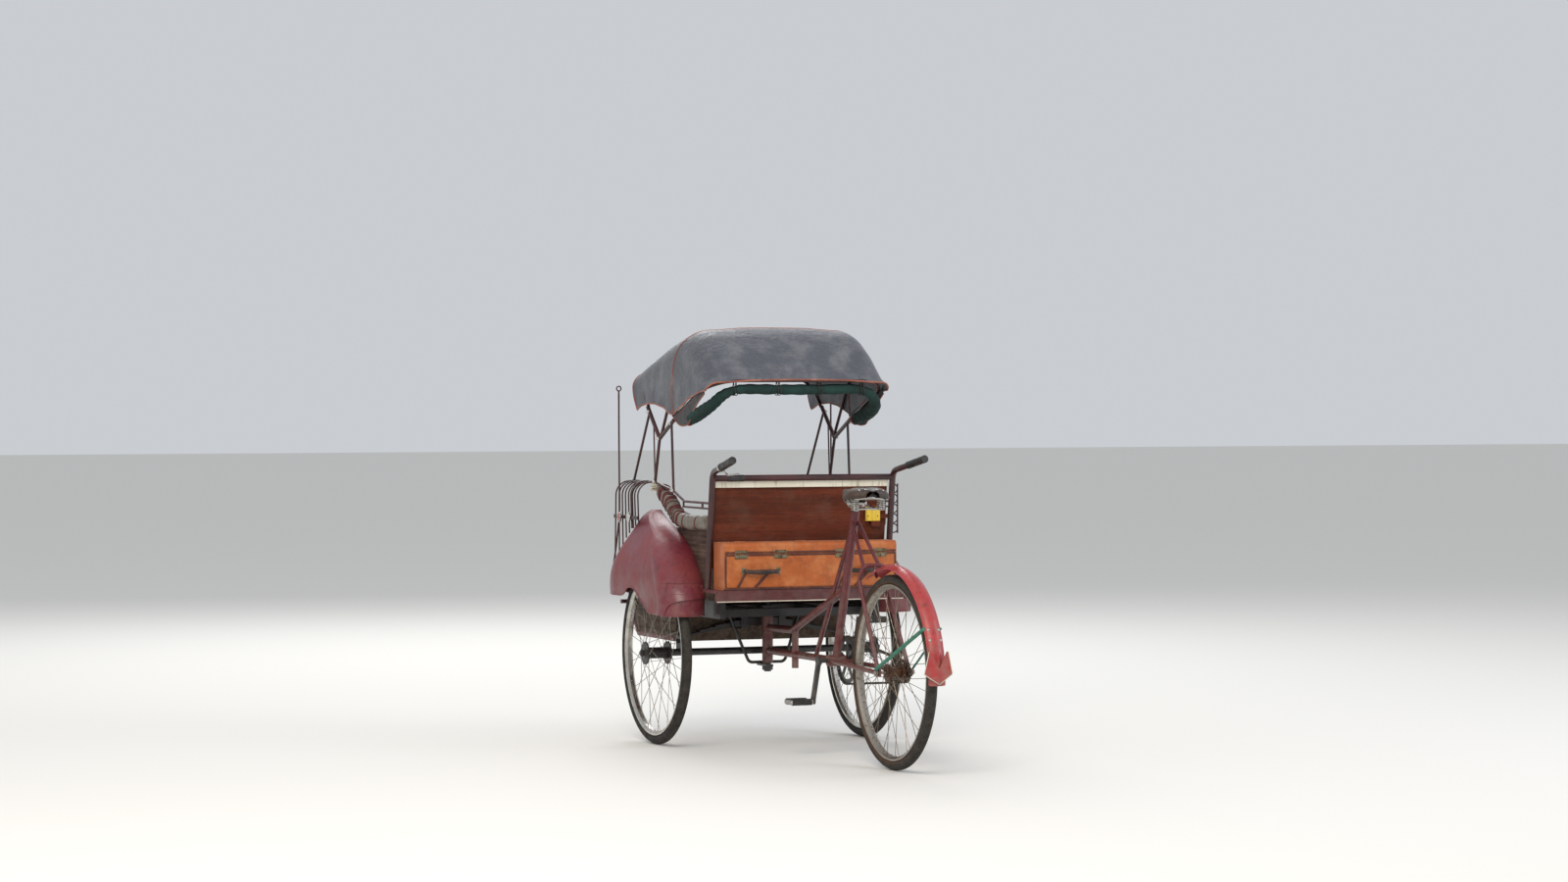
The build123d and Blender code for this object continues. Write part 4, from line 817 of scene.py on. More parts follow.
def nipples_and_valve(centre):
    """A brass nipple at each spoke's end, a six-row turned profile repeated round the rim, and a valve stem with
    its cap; a profile row is a height towards the axle and a radius round the spoke."""
    shell = Shell()
    turn = full_turn(8)
    profile = np.array([(0, 2.6), (-3, 2.6), (-4, 1.9), (-11, 1.7), (-12, 1.1)])
    for k in range(SPOKES):
        angle = 2 * math.pi * (k + 0.5) / SPOKES
        out = np.array([0, math.cos(angle), math.sin(angle)])
        side, along = np.array([1.0, 0, 0]), np.array([0, -math.sin(angle), math.cos(angle)])
        shift = SPOKE_SIDE * (0.45 if k % 2 else -0.45)
        base = np.array(centre) + out * NIPPLE_R * MM + side * shift * MM
        rows = base + profile[:, None, None, 0] * out * MM
        rows = rows + profile[:, None, None, 1] * MM * (
            np.cos(turn)[None, :, None] * side + np.sin(turn)[None, :, None] * along)
        shell.grid(rows)
    out = np.array([0, math.cos(VALVE_ANGLE), math.sin(VALVE_ANGLE)])
    stem = np.array(centre) + np.linspace(NIPPLE_R, NIPPLE_R - VALVE_LENGTH, 9)[:, None] * MM * out
    return shell.tube(stem, 3.0 * MM, RIGHT, scale=[1.4, 1.4, 1, 1, 1, 1.25, 1.25, 1.25, 0.9])


class RICKSHAW_OT_wheel_fittings(bpy.types.Operator):
    """Makes the spoke nipples and valve stems of the three wheels."""

    bl_idname = "rickshaw.wheel_fittings"
    bl_label = "Wheel fittings"

    def execute(self, context):
        for wheel, _, slot in WHEELS:
            fittings = nipples_and_valve(centre_of(f"{wheel}_rim"))
            piece(f"{wheel}_nipples", fittings, f"{wheel}_wheel", "brass", slot, sharp=50)
        return {"FINISHED"}


# ------------------------------------------------------------------ hood


HOOD_SIDE = 376.0
HOOD_LINES = (
    # share of the way from the front edge to the rear hem, hem (ahead of the axle, height), roof (the same)
    (0.00, (385, 1296), (420, 1444)),
    (0.12, (318, 1317), (330, 1480)),
    (0.25, (205, 1324), (190, 1525)),
    (0.36, (92, 1310), (60, 1568)),
    (0.50, (-14, 1276), (-128, 1612)),
    (0.60, (-90, 1306), (-205, 1586)),
    (0.74, (-215, 1350), (-300, 1520)),
    (0.88, (-320, 1370), (-372, 1450)),
    (1.00, (-376, 1376), (-410, 1406)),
)
HOOD_BULGE = (
    # the same share, how far the side's edge line bows ahead between hem and roof, rounding of the roof's edge
    (0.00, 26, 62), (0.25, 22, 84), (0.50, 52, 112), (0.74, 26, 84), (1.00, 0, 60),
)
HOOD_SKIN = 1.2
HOOD_STEPS = (121, 181)
HOOD_CROWN = 10.0
HOOD_RIPPLE = 1.6
HOOD_FLUTE = 1.8
SIDE_SAG = 0.35  # share of the roof's sag by which the sides pull in
CROWN_EASE, SAG_EASE, RIPPLE_EASE = 120, 160, 100  # how far in from the roof's edge each is at its full size
SOFT_REACH = 0.035


def hood_grid(sag, out=0.0):
    """The hood on s, from the front edge to the rear hem, and t, from the left hem over the roof to the right
    hem. Each line of one s is an upside-down U: up the side from the hem, a quarter round into the roof, and
    across. The three lines through the bows are where the table says; between them s blends the table and the
    cloth hangs in by sag times the sine of its way between two bows."""
    s, t = np.linspace(0, 1, HOOD_STEPS[0]), np.linspace(-1, 1, HOOD_STEPS[1])
    table = np.array([row[0] for row in HOOD_LINES])
    hem, roof = (softened(np.stack([
        np.interp(s, table, [row[line][k] for row in HOOD_LINES]) for k in (0, 1)], 1), s) for line in (1, 2))
    shares = [row[0] for row in HOOD_BULGE]
    bow_out = np.interp(s, shares, [row[1] for row in HOOD_BULGE])
    rounding = np.interp(s, shares, [row[2] for row in HOOD_BULGE])
    height = np.linalg.norm(roof - hem, axis=1)
    rounding = np.minimum(rounding, height * 0.92)
    straight = height - rounding
    quarter = rounding * math.pi / 2
    flat = HOOD_SIDE - rounding
    total = straight + quarter + flat
    walked = (1 - np.abs(t))[None, :] * total[:, None]
    on_side = np.clip(walked, 0, straight[:, None])
    angle = np.clip((walked - straight[:, None]) / rounding[:, None], 0, math.pi / 2)
    on_roof = np.clip(walked - (straight + quarter)[:, None], 0, None)
    climb = on_side + rounding[:, None] * np.sin(angle)
    inward = rounding[:, None] * (1 - np.cos(angle)) + on_roof
    share = climb / height[:, None]
    between = np.sin(2 * math.pi * (s % 0.5))[:, None]
    belly = np.sin(np.clip(share, 0, 1) * math.pi)
    crown = HOOD_CROWN * (1 - (np.abs(HOOD_SIDE - inward) / HOOD_SIDE) ** 2) * np.clip(on_roof / CROWN_EASE, 0, 1)
    hang = -sag / MM * between * np.clip(on_roof / SAG_EASE, 0, 1)
    pinch = -SIDE_SAG * sag / MM * between * belly
    lean = bow_out[:, None] * belly
    y = hem[:, None, 0] + (roof - hem)[:, None, 0] * share + lean
    z = hem[:, None, 1] + (roof - hem)[:, None, 1] * share + crown + hang
    x = np.sign(t)[None, :] * (HOOD_SIDE - inward + pinch * (on_roof == 0))
    x = np.where(t[None, :] == 0, 0.0, x)
    ripple = HOOD_RIPPLE * np.sin(y / 23 + 3 * np.sin(x / 140)) * np.sin(x / 47 + 1.3) * between
    z = z + ripple * np.clip(on_roof / RIPPLE_EASE, 0, 1)
    flute = HOOD_FLUTE * np.sin(y / 17.0) * np.clip(1 - share * 2.2, 0, 1) * np.sign(t)[None, :]
    grid = at(x + flute, y, z)
    if out:
        across = np.gradient(grid, axis=1)
        along = np.gradient(grid, axis=0)
        grid = grid + unit(np.cross(across, along)) * out * MM
    return grid


def softened(points, s):
    """The points averaged with their neighbours along s, weighted by a bell curve SOFT_REACH wide, ends kept."""
    weight = np.exp(-(((s[:, None] - s[None, :]) / SOFT_REACH) ** 2))
    smooth = weight @ points / weight.sum(1, keepdims=True)
    near_end = np.clip(np.minimum(s, 1 - s) / SOFT_REACH / 1.6, 0, 1)[:, None]
    return points * (1 - near_end) + smooth * near_end


def thickened(obj, thickness):
    """Gives a sheet its real thickness."""
    wall = obj.modifiers.new("Thickness", "SOLIDIFY")
    wall.thickness = thickness
    wall.offset = -1.0


class RICKSHAW_OT_hood(bpy.types.Operator):
    """Stretches the hood's cover over its bows, with its piping and the seam over the middle bow."""

    bl_idname = "rickshaw.hood"
    bl_label = "Hood"

    def execute(self, context):
        grid = hood_grid(sizes().hood_sag)
        skin = Shell().grid(grid, round_columns=False, flip=True)
        cover = piece("hood_sheet", skin, "cab", "hood", "hood_grey", "hood_cover")
        thickened(cover, HOOD_SKIN * MM)

        shell = Shell()
        edge = np.concatenate([grid[0], grid[1:, -1], grid[-1, ::-1][1:], grid[::-1, 0][1:-1]])
        shell.tube(evenly(edge, 720), 3.4 * MM, (0.2, 0.9, 0.3), sides=8, closed=True)
        middle = hood_grid(sizes().hood_sag, out=1.0)[HOOD_STEPS[0] // 2]
        shell.tube(evenly(middle, 200), 3.6 * MM, (0.05, 1, 0.1), sides=8)
        binding = piece("hood_piping", shell, "cab", "piping", "hood_grey")
        return {"FINISHED"}


# ------------------------------------------------------------ soft goods


ROLL_PATH = (
    # ahead of the axle, across, height: from the drooping left end round the corner to the middle
    (-118, -352, 1258), (-165, -352, 1267), (-225, -353, 1281), (-290, -350, 1299), (-348, -338, 1322),
    (-378, -312, 1352), (-386, -275, 1372), (-387, -225, 1379), (-387, -120, 1378), (-387, 0, 1377),
)
ROLL_SWELL = (1.15, 1.35, 1.5, 1.45, 1.3, 1.15, 0.98, 1.05, 1.1, 1.12)
ROLL_TURNS = 4
ROLL_CORE = 6.5
ROLL_STEP = 3.1
ROLL_WRINKLE = 0.9
ROLL_STEPS = 361
ROLL_SIDES = 26
CURTAIN_LENGTH = 1.36
TIE_PINCH, TIE_REACH = 0.16, 16.0
STRAP_PLACES = (-262, -85, 85, 262)
BAND_STARTS = (5, 352)
BAND_GROWTH = 1.09


class RICKSHAW_OT_curtain(bpy.types.Operator):
    """Rolls up the rear curtain under the rear bow, ties it and lets its ends droop along the sides."""

    bl_idname = "rickshaw.curtain"
    bl_label = "Rolled curtain"

    def execute(self, context):
        half = np.array([(x, y, z) for y, x, z in ROLL_PATH], float)
        whole = np.concatenate([half, (half * (-1, 1, 1))[-2::-1]])
        swell = np.array(ROLL_SWELL + ROLL_SWELL[-2::-1])
        path = curve_through(whole, ROLL_STEPS)
        wide = np.interp(np.linspace(0, len(swell) - 1, ROLL_STEPS), np.arange(len(swell)), swell)
        tie = np.ones(ROLL_STEPS)
        for place in STRAP_PLACES:
            near = np.abs(path[:, 0] - place) + 4 * np.clip(1340 - path[:, 2], 0, None)
            tie *= 1 - TIE_PINCH * np.exp(-((near / TIE_REACH) ** 2))
        along = np.linspace(0, 1, ROLL_STEPS)
        turn = np.linspace(0, 2 * math.pi * ROLL_TURNS, ROLL_SIDES * ROLL_TURNS)
        spiral = ROLL_CORE + ROLL_STEP * turn / (2 * math.pi)
        profile = np.stack([spiral * np.cos(turn), spiral * np.sin(turn)], 1)
        grid = carried(path, profile, UP, scale=wide * tie)
        wrinkle = ROLL_WRINKLE * np.sin(along[:, None] * 190 + 2.2 * np.sin(turn[None, :])) * (turn[None, :] > 15)
        grid = grid + unit(grid - path[:, None]) * wrinkle[..., None]
        grid = at(*np.moveaxis(grid, -1, 0))
        length = CURTAIN_LENGTH
        width = float(np.sum(np.linalg.norm(np.diff(profile, axis=0), axis=1)) * MM * wide.mean())
        cloth = Shell().grid(grid, round_columns=False, size=(length, width))
        curtain = piece("curtain_sheet", cloth, "cab", "roll", "curtain_green", "curtain_roll")
        thickened(curtain, 0.0007)

        ties = Shell()
        for x in STRAP_PLACES:
            k = int(np.argmin(np.abs(path[:, 0] - x) + (path[:, 2] < 1350) * 1000))
            radius = (ROLL_CORE + ROLL_STEP * ROLL_TURNS) * wide[k] * 0.90 + 2.2
            angle = full_turn(32)
            loop_y = path[k, 1] + radius * np.cos(angle) * (1 + 0.06 * np.sin(3 * angle))
            loop_z = path[k, 2] + radius * np.sin(angle) + 14 * np.clip(np.sin(angle) - 0.86, 0, 1) * 7
            for shift in (-5, 5):
                loop = at(x + shift + 2 * np.sin(2 * angle), loop_y, loop_z)
                ties.tube(loop, 1.7 * MM, RIGHT, sides=8, closed=True)
        piece("curtain_ties", ties, "cab", "rubber", "black_rubber", "curtain_straps")

        bands = Shell()
        for first in BAND_STARTS:
            rows = []
            for k, grow in ((first, 1.0), (first, BAND_GROWTH), (first + 3, BAND_GROWTH), (first + 3, 1.0)):
                row = grid[k, -ROLL_SIDES:]
                rows.append(row.mean(0) + (row - row.mean(0)) * grow)
            bands.grid(np.stack(rows))
        piece("curtain_bands", bands, "cab", "red band", "dark_maroon")
        return {"FINISHED"}


SIDE_FLAP = (
    # ahead of the axle, height of the upper edge, height of the lower edge
    (-8, 1279, 1276), (-40, 1289, 1256), (-90, 1304, 1240), (-140, 1320, 1238), (-185, 1337, 1248),
    (-230, 1352, 1290), (-300, 1369, 1334), (-350, 1380, 1362),
)
FLAP_X = 371.5
FLAP_WAVE = 1.8


class RICKSHAW_OT_side_flaps(bpy.types.Operator):
    """Hangs the dark inner flaps along the hood's rear side hems, each bound along its lower edge."""

    bl_idname = "rickshaw.side_flaps"
    bl_label = "Side flaps"

    def execute(self, context):
        table = np.array(SIDE_FLAP, float)
        for side, word in SIDES:
            upper = evenly(curve_through(table[:, (0, 1)], 61), 61)
            lower = evenly(curve_through(table[:, (0, 2)], 61), 61)
            down = np.linspace(0, 1, 15)[None, :, None]
            flat = upper[:, None] * (1 - down) + lower[:, None] * down
            wave = FLAP_WAVE * np.sin(flat[..., 0] / 26) * down[..., 0]
            x = side * (FLAP_X + wave + 2.0 * down[..., 0])
            grid = at(x, flat[..., 0], flat[..., 1])
            skin = Shell().grid(grid, round_columns=False, flip=side > 0)
            flap = piece(f"side_flap_{word}", skin, "cab", "lining", "hood_grey")
            thickened(flap, HOOD_SKIN * MM)
            binding = Shell().tube(grid[:, -1], 2.6 * MM, RIGHT, sides=8)
            trim = piece(f"flap_binding_{word}", binding, "cab", "piping", "hood_grey")
        return {"FINISHED"}


PAD_INSET = 0.006
PAD_POWER = 9.0
PAD_EDGE = 0.30
PAD_STEPS = (244, 49)
PAD_VOXEL = 0.006
PAD_FRAMES = 20
PAD_PRESSURE = 4.0
PAD_LIMIT = 0.010
CHANNEL_PITCH = 0.078
CHANNEL_DEPTH = 0.010


def cushion_grid(low, high, crown, tuck):
    """A stuffed pad as a closed form on two turns, u round the outline and v from the bottom's middle over the
    edge to the top's middle: the outline is a rounded rectangle (a superellipse) whose sides pull
    in by tuck between the corners, the edge is a half ellipse, and the faces swell by crown towards the middle."""
    centre, half = (low + high) / 2, (high - low) / 2
    u = full_turn(PAD_STEPS[0])[:, None]
    v = np.linspace(-1, 1, PAD_STEPS[1])[None, :]
    reach = squircle(u, PAD_POWER)
    edge = PAD_EDGE
    inner = np.clip((1 - np.abs(v)) / (1 - edge), 0, 1)
    lip = min(half[2] * 0.92, 0.035)
    pull = 1 - tuck * (1 - np.abs(np.cos(2 * u))) * 0.5
    radial = np.where(np.abs(v) >= edge, inner, 1 + 0 * v)
    angle = np.where(np.abs(v) < edge, v / edge * math.pi / 2, np.sign(v) * math.pi / 2)
    out = [radial * (h - lip) for h in half[:2]]
    x = centre[0] + pull * reach * np.cos(u) * (out[0] + lip * np.cos(angle))
    y = centre[1] + pull * reach * np.sin(u) * (out[1] + lip * np.cos(angle))
    swell = crown * (1 - radial**2) * (np.abs(v) >= edge)
    z = centre[2] + np.sin(angle) * (half[2] - crown) + np.where(v > 0, swell, -0.15 * swell) + 0 * x
    return np.stack([x, y, z], -1)


def swollen(obj, hold):
    """Fills a pad like a real one: remeshes it evenly, lets cloth under pressure swell it without gravity and
    keeps every point within PAD_LIMIT of where it began. hold(points) says which points stay where they are,
    such as those that rest on a board."""
    start = obj.data.copy()
    remesh = obj.modifiers.new("Even", "REMESH")
    remesh.mode = "VOXEL"
    remesh.voxel_size = PAD_VOXEL
    apply_modifiers(obj)
    before = places_of(obj.data)
    cloth = obj.modifiers.new("Filling", "CLOTH")
    cloth.settings.use_pressure = True
    cloth.settings.uniform_pressure_force = PAD_PRESSURE
    cloth.settings.effector_weights.gravity = 0.0
    cloth.point_cache.frame_start, cloth.point_cache.frame_end = 1, PAD_FRAMES
    group = obj.vertex_groups.new(name="held")
    group.add([int(k) for k in np.flatnonzero(hold(before))], 1.0, "REPLACE")
    cloth.settings.vertex_group_mass = "held"
    for step in range(1, PAD_FRAMES + 1):
        bpy.context.scene.frame_set(step)
    apply_modifiers(obj)
    bpy.context.scene.frame_set(1)
    move = places_of(obj.data) - before
    length = np.linalg.norm(move, axis=1, keepdims=True)
    set_places(obj.data, before + move * np.minimum(1, PAD_LIMIT / np.maximum(length, 1e-9)))
    obj.vertex_groups.clear()
    obj.data.polygons.foreach_set("use_smooth", np.ones(len(obj.data.polygons), bool))
    obj.data.update()
    for look in start.materials:
        if not obj.data.materials:
            obj.data.materials.append(look)
    bpy.data.meshes.remove(start)


def apply_modifiers(obj):
    """Turns what the modifiers make of the object into its mesh."""
    graph = bpy.context.evaluated_depsgraph_get()
    graph.update()
    made = bpy.data.meshes.new_from_object(obj.evaluated_get(graph), preserve_all_data_layers=True, depsgraph=graph)
    obj.modifiers.clear()
    obj.data = made


def channelled(obj, low, high, face):
    """Sews channels across a swollen pad: a point near the named face (+Z or +Y) sinks by their depth times a
    narrow bell curve of its distance from the nearest seam, fading towards the pad's edges."""
    pitch, depth = CHANNEL_PITCH, CHANNEL_DEPTH
    co = places_of(obj.data)
    middle, half = (low + high) / 2, (high - low) / 2
    other = 3 - face
    from_seam = np.abs((co[:, 0] - middle[0] + pitch / 2) % pitch - pitch / 2)
    near_edge = np.clip((half[0] - np.abs(co[:, 0] - middle[0])) / 0.05, 0, 1)
    far = np.clip((half[other] * 0.93 - np.abs(co[:, other] - middle[other])) / 0.05, 0, 1)
    facing = np.clip((co[:, face] - middle[face]) / (half[face] * 0.6), 0, 1)
    sink = depth * np.exp(-((from_seam / 0.0065) ** 2)) + 0.25 * depth * np.exp(-((from_seam / 0.022) ** 2))
    co[:, face] -= sink * facing * near_edge * far
    set_places(obj.data, co)


def smoothed(obj):
    """One level of subdivision on a finished pad."""
    smooth = obj.modifiers.new("Smooth", "SUBSURF")
    smooth.levels = smooth.render_levels = 1


class RICKSHAW_OT_cushions(bpy.types.Operator):
    """Stuffs the seat and back cushions with cloth under pressure, sews their channels and binds their edges."""

    bl_idname = "rickshaw.cushions"
    bl_label = "Cushions"

    def execute(self, context):
        for node, face, crown, order in (("seat_cushion", 2, 1.0, [0, 1, 2]), ("back_cushion", 1, 0.8, [0, 2, 1])):
            low, high = np.array(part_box(node))
            crown *= sizes().cushion_crown
            grid = cushion_grid(low[order] + PAD_INSET, high[order] - PAD_INSET, crown, 0.02)[..., order]

            def hold(points):
                return points[:, face] < low[face] + 0.012

            form = Shell().grid(grid.transpose(1, 0, 2), flip=face == 2)
            pad = piece(node + "_pad", form, "cab", "seat vinyl", "seat_vinyl", node)
            swollen(pad, hold)
            channelled(pad, low, high, face)
            smoothed(pad)
            turn = full_turn(240)
            middle, half = (low + high) / 2, (high - low) / 2
            reach = squircle(turn, PAD_POWER)
            other = 3 - face
            welt = np.empty((240, 3))
            welt[:, 0] = middle[0] + reach * np.cos(turn) * (half[0] - 0.004)
            welt[:, other] = middle[other] + reach * np.sin(turn) * (half[other] - 0.004)
            shell = Shell()
            for lift in (0.46, -0.5):
                welt[:, face] = middle[face] + half[face] * lift
                across = UP if face == 2 else AHEAD
                shell.tube(welt, 0.0034, across, sides=8, closed=True)
            piece(node + "_welt", shell, "cab", "piping", "seat_vinyl")
        return {"FINISHED"}


REST_PATH = (
    # ahead of the axle, height: the bolster's middle from the rear to its raised front end
    (-384, 872), (-330, 871), (-240, 868), (-150, 869), (-70, 874), (-10, 895), (60, 936), (130, 972), (168, 990),
)
REST_X = -357.0
REST_HALF = (24.5, 28.0)
REST_POWER = 3.2
REST_SAG = 1.6
REST_STEPS = 181
REST_SIDES = 40
LASHINGS = (0.20, 0.44, 0.60, 0.67, 0.78, 0.84, 0.90)
LASHING_PINCH, LASHING_REACH = 0.13, 0.014
CORD_LIFT, LACE_LIFT = 1.035, 1.07  # how far cords and laces stand off the bolster's middle, as shares
ROPE_TURNS = 5


class RICKSHAW_OT_armrests(bpy.types.Operator):
    """Makes the two padded bolsters, pinched where they are lashed, with their sewn covers and lashings."""

    bl_idname = "rickshaw.armrests"
    bl_label = "Armrests"

    def execute(self, context):
        for side, word in ((1, "left"), (-1, "right")):
            path = evenly(curve_through(REST_PATH, 200), REST_STEPS)
            along = np.linspace(0, 1, REST_STEPS)
            place = np.insert(path, 0, REST_X, axis=1)
            size = np.ones(REST_STEPS)
            for share in LASHINGS:
                size = size - LASHING_PINCH * np.exp(-(((along - share) / LASHING_REACH) ** 2))
            size = size + 0.035 * np.sin(along * 41 + side) + 0.02 * np.sin(along * 97)
            size = size * np.clip(np.sqrt(np.clip(1 - ((0.985 - along) / 0.985) ** 40, 0, 1)), 0.2, 1)
            for past in (along - 0.95, 0.05 - along):
                size = size * np.where(past > 0, np.sqrt(np.clip(1 - (past / 0.052) ** 2, 0.03, 1)), 1)
            turn = full_turn(REST_SIDES)
            reach = squircle(turn, REST_POWER)
            profile = np.stack([REST_HALF[0] * reach * np.cos(turn), REST_HALF[1] * reach * np.sin(turn)], 1)
            grid = carried(place, profile, RIGHT, scale=size)
            sag = REST_SAG * np.sin(turn * 3 + 2)[None, :] * np.sin(along * 23)[:, None]
            grid = grid + unit(grid - place[:, None]) * sag[..., None]
            grid = at(*np.moveaxis(grid * (side, 1, 1), -1, 0))
            bolster = Shell().grid(grid, flip=side < 0)
            pad = piece(f"armrest_pad_{word}", bolster, "cab", "armrest", "armrest_grey", f"armrest_{word}")
            smoothed(pad)

            cords = Shell()
            for order, share in enumerate(LASHINGS):
                k = int(share * (REST_STEPS - 1))
                for shift in ((-2, 0, 2) if order > 2 else (-1, 1)):
                    row = grid[min(k + shift, 178)]
                    centre = row.mean(0)
                    loop = centre + (row - centre) * CORD_LIFT
                    loop = loop + np.array([0, 0.0035, 0.002]) * np.sin(turn + shift)[:, None]
                    cords.tube(loop, 2.3 * MM, RIGHT, sides=8, closed=True)
            for way in (-1, 1):
                step = np.linspace(0, 1, 280)
                row = (0.50 + 0.46 * step) * (REST_STEPS - 1)
                column = (way * step * 6.3 + 0.2 * np.sin(step * 19)) * REST_SIDES % REST_SIDES
                k, j = row.astype(int), column.astype(int)
                past, round_by = (row - k)[:, None], (column - j)[:, None]
                after = (j + 1) % REST_SIDES
                near = grid[k, j] * (1 - round_by) + grid[k, after] * round_by
                far = grid[k + 1, j] * (1 - round_by) + grid[k + 1, after] * round_by
                middle = grid[k].mean(1) * (1 - past) + grid[k + 1].mean(1) * past
                spot = near * (1 - past) + far * past
                spot = middle + (spot - middle) * LACE_LIFT
                cords.tube(evenly(spot, 240), 1.9 * MM, RIGHT, sides=7)
            piece(f"armrest_lashing_{word}", cords, "cab", "red cord", "dark_maroon")

            rope = Shell()
            wind = np.linspace(0, 2 * math.pi * ROPE_TURNS, 36 * ROPE_TURNS)
            radius = 13.0 + 5.0 * np.sin(wind * 0.37) + 2.0 * np.sin(wind * 1.9 + 1)
            coil = at((REST_X - 15 + radius * np.cos(wind)) * side, 186 + 1.5 * radius * np.sin(wind),
                      978 + 34 * wind / wind[-1] + 3 * np.sin(wind * 0.8))
            rope.tube(coil, 2.6 * MM, UP, sides=8)
            piece(f"post_lashing_{word}", rope, "cab", "pale rope", "armrest_grey")
        return {"FINISHED"}


# ---------------------------------------------------------------- trunk

TRUNK_FACE = -515.0
TRUNK_EDGE = 352
LATCH_HALF = 0.0262
LATCHES = (-286, -126, 126, 286)
HANDLE_MIDDLES = (-206, 206)
HANDLE_HANG = (
    # across from the handle's middle, height, distance behind the trunk's face
    (-70, 693, 4), (-62, 691, 15), (-32, 688.5, 20), (0, 688, 21), (32, 688.5, 20), (62, 691, 15), (70, 693, 4),
)


def on_trunk(x, z, out=0.0):
    """A place on the trunk's rear face, x and z in millimetres and out millimetres behind the face."""
    return at(x, TRUNK_FACE - out, z)


def bound_edge(shell, x_from, x_to, z_from, z_to):
    """A leather strip folded over an edge of the rear face, with its line of stitches."""
    middle = on_trunk((x_from + x_to) / 2, (z_from + z_to) / 2)
    half_a, half_b = (x_to - x_from) / 2 * MM, (z_to - z_from) / 2 * MM
    plate(shell, middle, RIGHT, UP, half_a, half_b, 0.002, 0.0013, 0.0008)
    flat = half_a > half_b
    length = 2 * max(half_a, half_b)
    for along in np.arange(-length / 2 + 0.006, length / 2 - 0.004, 0.0085):
        spot = middle + (np.array([along, 0, 0]) if flat else np.array([0, 0, along])) - [0, 0.0012, 0]
        size = (0.0026, 0.0006) if flat else (0.0006, 0.0026)
        plate(shell, spot, RIGHT, UP, *size, 0.0005, 0.0007, 0.0003)


def latch_half(shell, x, z, height, tongue):
    """One half of a trunk latch: a pressed tray with a rolled rim, its rivets, and the tongue or its bow."""
    half_a, half_b = LATCH_HALF, height / 2 * MM
    plate(shell, on_trunk(x, z), RIGHT, UP, half_a, half_b, 0.0025, 0.0014, 0.0005)
    rim = plate_outline(half_a - 0.001, half_b - 0.001, 0.002)
    loop = np.stack([rim[:, 0] + x * MM, np.full(len(rim), ahead(TRUNK_FACE) - 0.0018), rim[:, 1] + z * MM], 1)
    shell.tube(loop, 0.0010, AHEAD, sides=6, closed=True)
    for side in (-1, 1):
        bolt(shell, on_trunk(x + side * 21.5, z, 1.4), (0, -1, 0), 0.0013, 0.0011)
    if tongue:
        plate(shell, on_trunk(x, z + 1.5, 1.4), RIGHT, UP, 0.0085, half_b - 0.0015, 0.002, 0.0028, 0.0009)
        plate(shell, on_trunk(x, z - 3, 4.0), RIGHT, UP, 0.0058, 0.0014, 0.001, 0.0008, 0.0003)
    else:
        corners = ((-12, 1.5), (-12, 3.8), (12, 3.8), (12, 1.5))
        bow = rounded_path([on_trunk(x + off, z - 3.6, out) for off, out in corners], 0.002)
        shell.tube(bow, 0.0010, UP, sides=6)


class RICKSHAW_OT_trunk(bpy.types.Operator):
    """Binds the trunk's edges in leather and hangs its latches, handles and closing straps."""

    bl_idname = "rickshaw.trunk"
    bl_label = "Trunk trim"

    def execute(self, context):
        box_edges, lid_edges = Shell(), Shell()
        bound_edge(box_edges, -TRUNK_EDGE, TRUNK_EDGE, 621, 630)
        bound_edge(box_edges, -TRUNK_EDGE, TRUNK_EDGE, 748.5, 756.2)
        bound_edge(lid_edges, -TRUNK_EDGE, TRUNK_EDGE, 758.6, 766)
        for side in (-1, 1):
            low, high = sorted((side * 353, side * 345))
            bound_edge(box_edges, low, high, 631, 748)
        piece("trunk_binding", box_edges, "cab", "binding", "rear_trunk")
        piece("lid_binding", lid_edges, "trunk_lid", "binding", "trunk_lid")

        uppers, lowers = Shell(), Shell()
        for x in LATCHES:
            latch_half(uppers, x, 765, 11.5, False)
            latch_half(lowers, x, 746.5, 16.5, True)
        piece("latch_uppers", uppers, "trunk_lid", "brass", "lid_hasps", "lid_hasps")

        grips, straps = Shell(), Shell()
        for middle in HANDLE_MIDDLES:
            hang = [on_trunk(middle + x, z, out) for x, z, out in HANDLE_HANG]
            path = evenly(curve_through(hang, 60), 40)
            fat = 1 + 0.35 * np.cos(np.linspace(-math.pi / 2, math.pi / 2, 40)) ** 2
            grips.tube(path, 0.0072, UP, sides=16, flat=0.62, scale=fat)
            for end in (-1, 1):
                plate(lowers, on_trunk(middle + end * 71, 692), RIGHT, UP, 0.0085, 0.013, 0.003, 0.0016)
                for z in (684, 700):
                    bolt(lowers, on_trunk(middle + end * 71, z, 1.6), (0, -1, 0), 0.0018, 0.0013)
                corners = ((77, 697), (65, 697), (65, 687), (77, 687))
                loop = rounded_path([on_trunk(middle + end * x, z, 2.6) for x, z in corners], 0.003)
                lowers.tube(loop, 0.0013, AHEAD, sides=8)
            for top, foot in ((-56, -94), (44, -25)):
                top_at, foot_at = on_trunk(middle + top, 697), on_trunk(middle + foot, 629)
                way = foot_at - top_at
                half = np.linalg.norm(way) / 2
                across = unit(way)
                up = np.cross(AHEAD, across)
                plate(straps, (top_at + foot_at) / 2, across, -up if np.cross(across, up)[1] > 0 else up,
                      half, 0.0052, 0.0026, 0.0022, 0.0007)
        piece("trunk_metalwork", lowers, "cab", "brass", "trunk_fittings", "trunk_fittings")
        piece("trunk_handles", grips, "cab", "saddle", "trunk_fittings")
        piece("trunk_straps", straps, "cab", "binding", "trunk_fittings")
        return {"FINISHED"}


# ---------------------------------------------------------------- cab trim

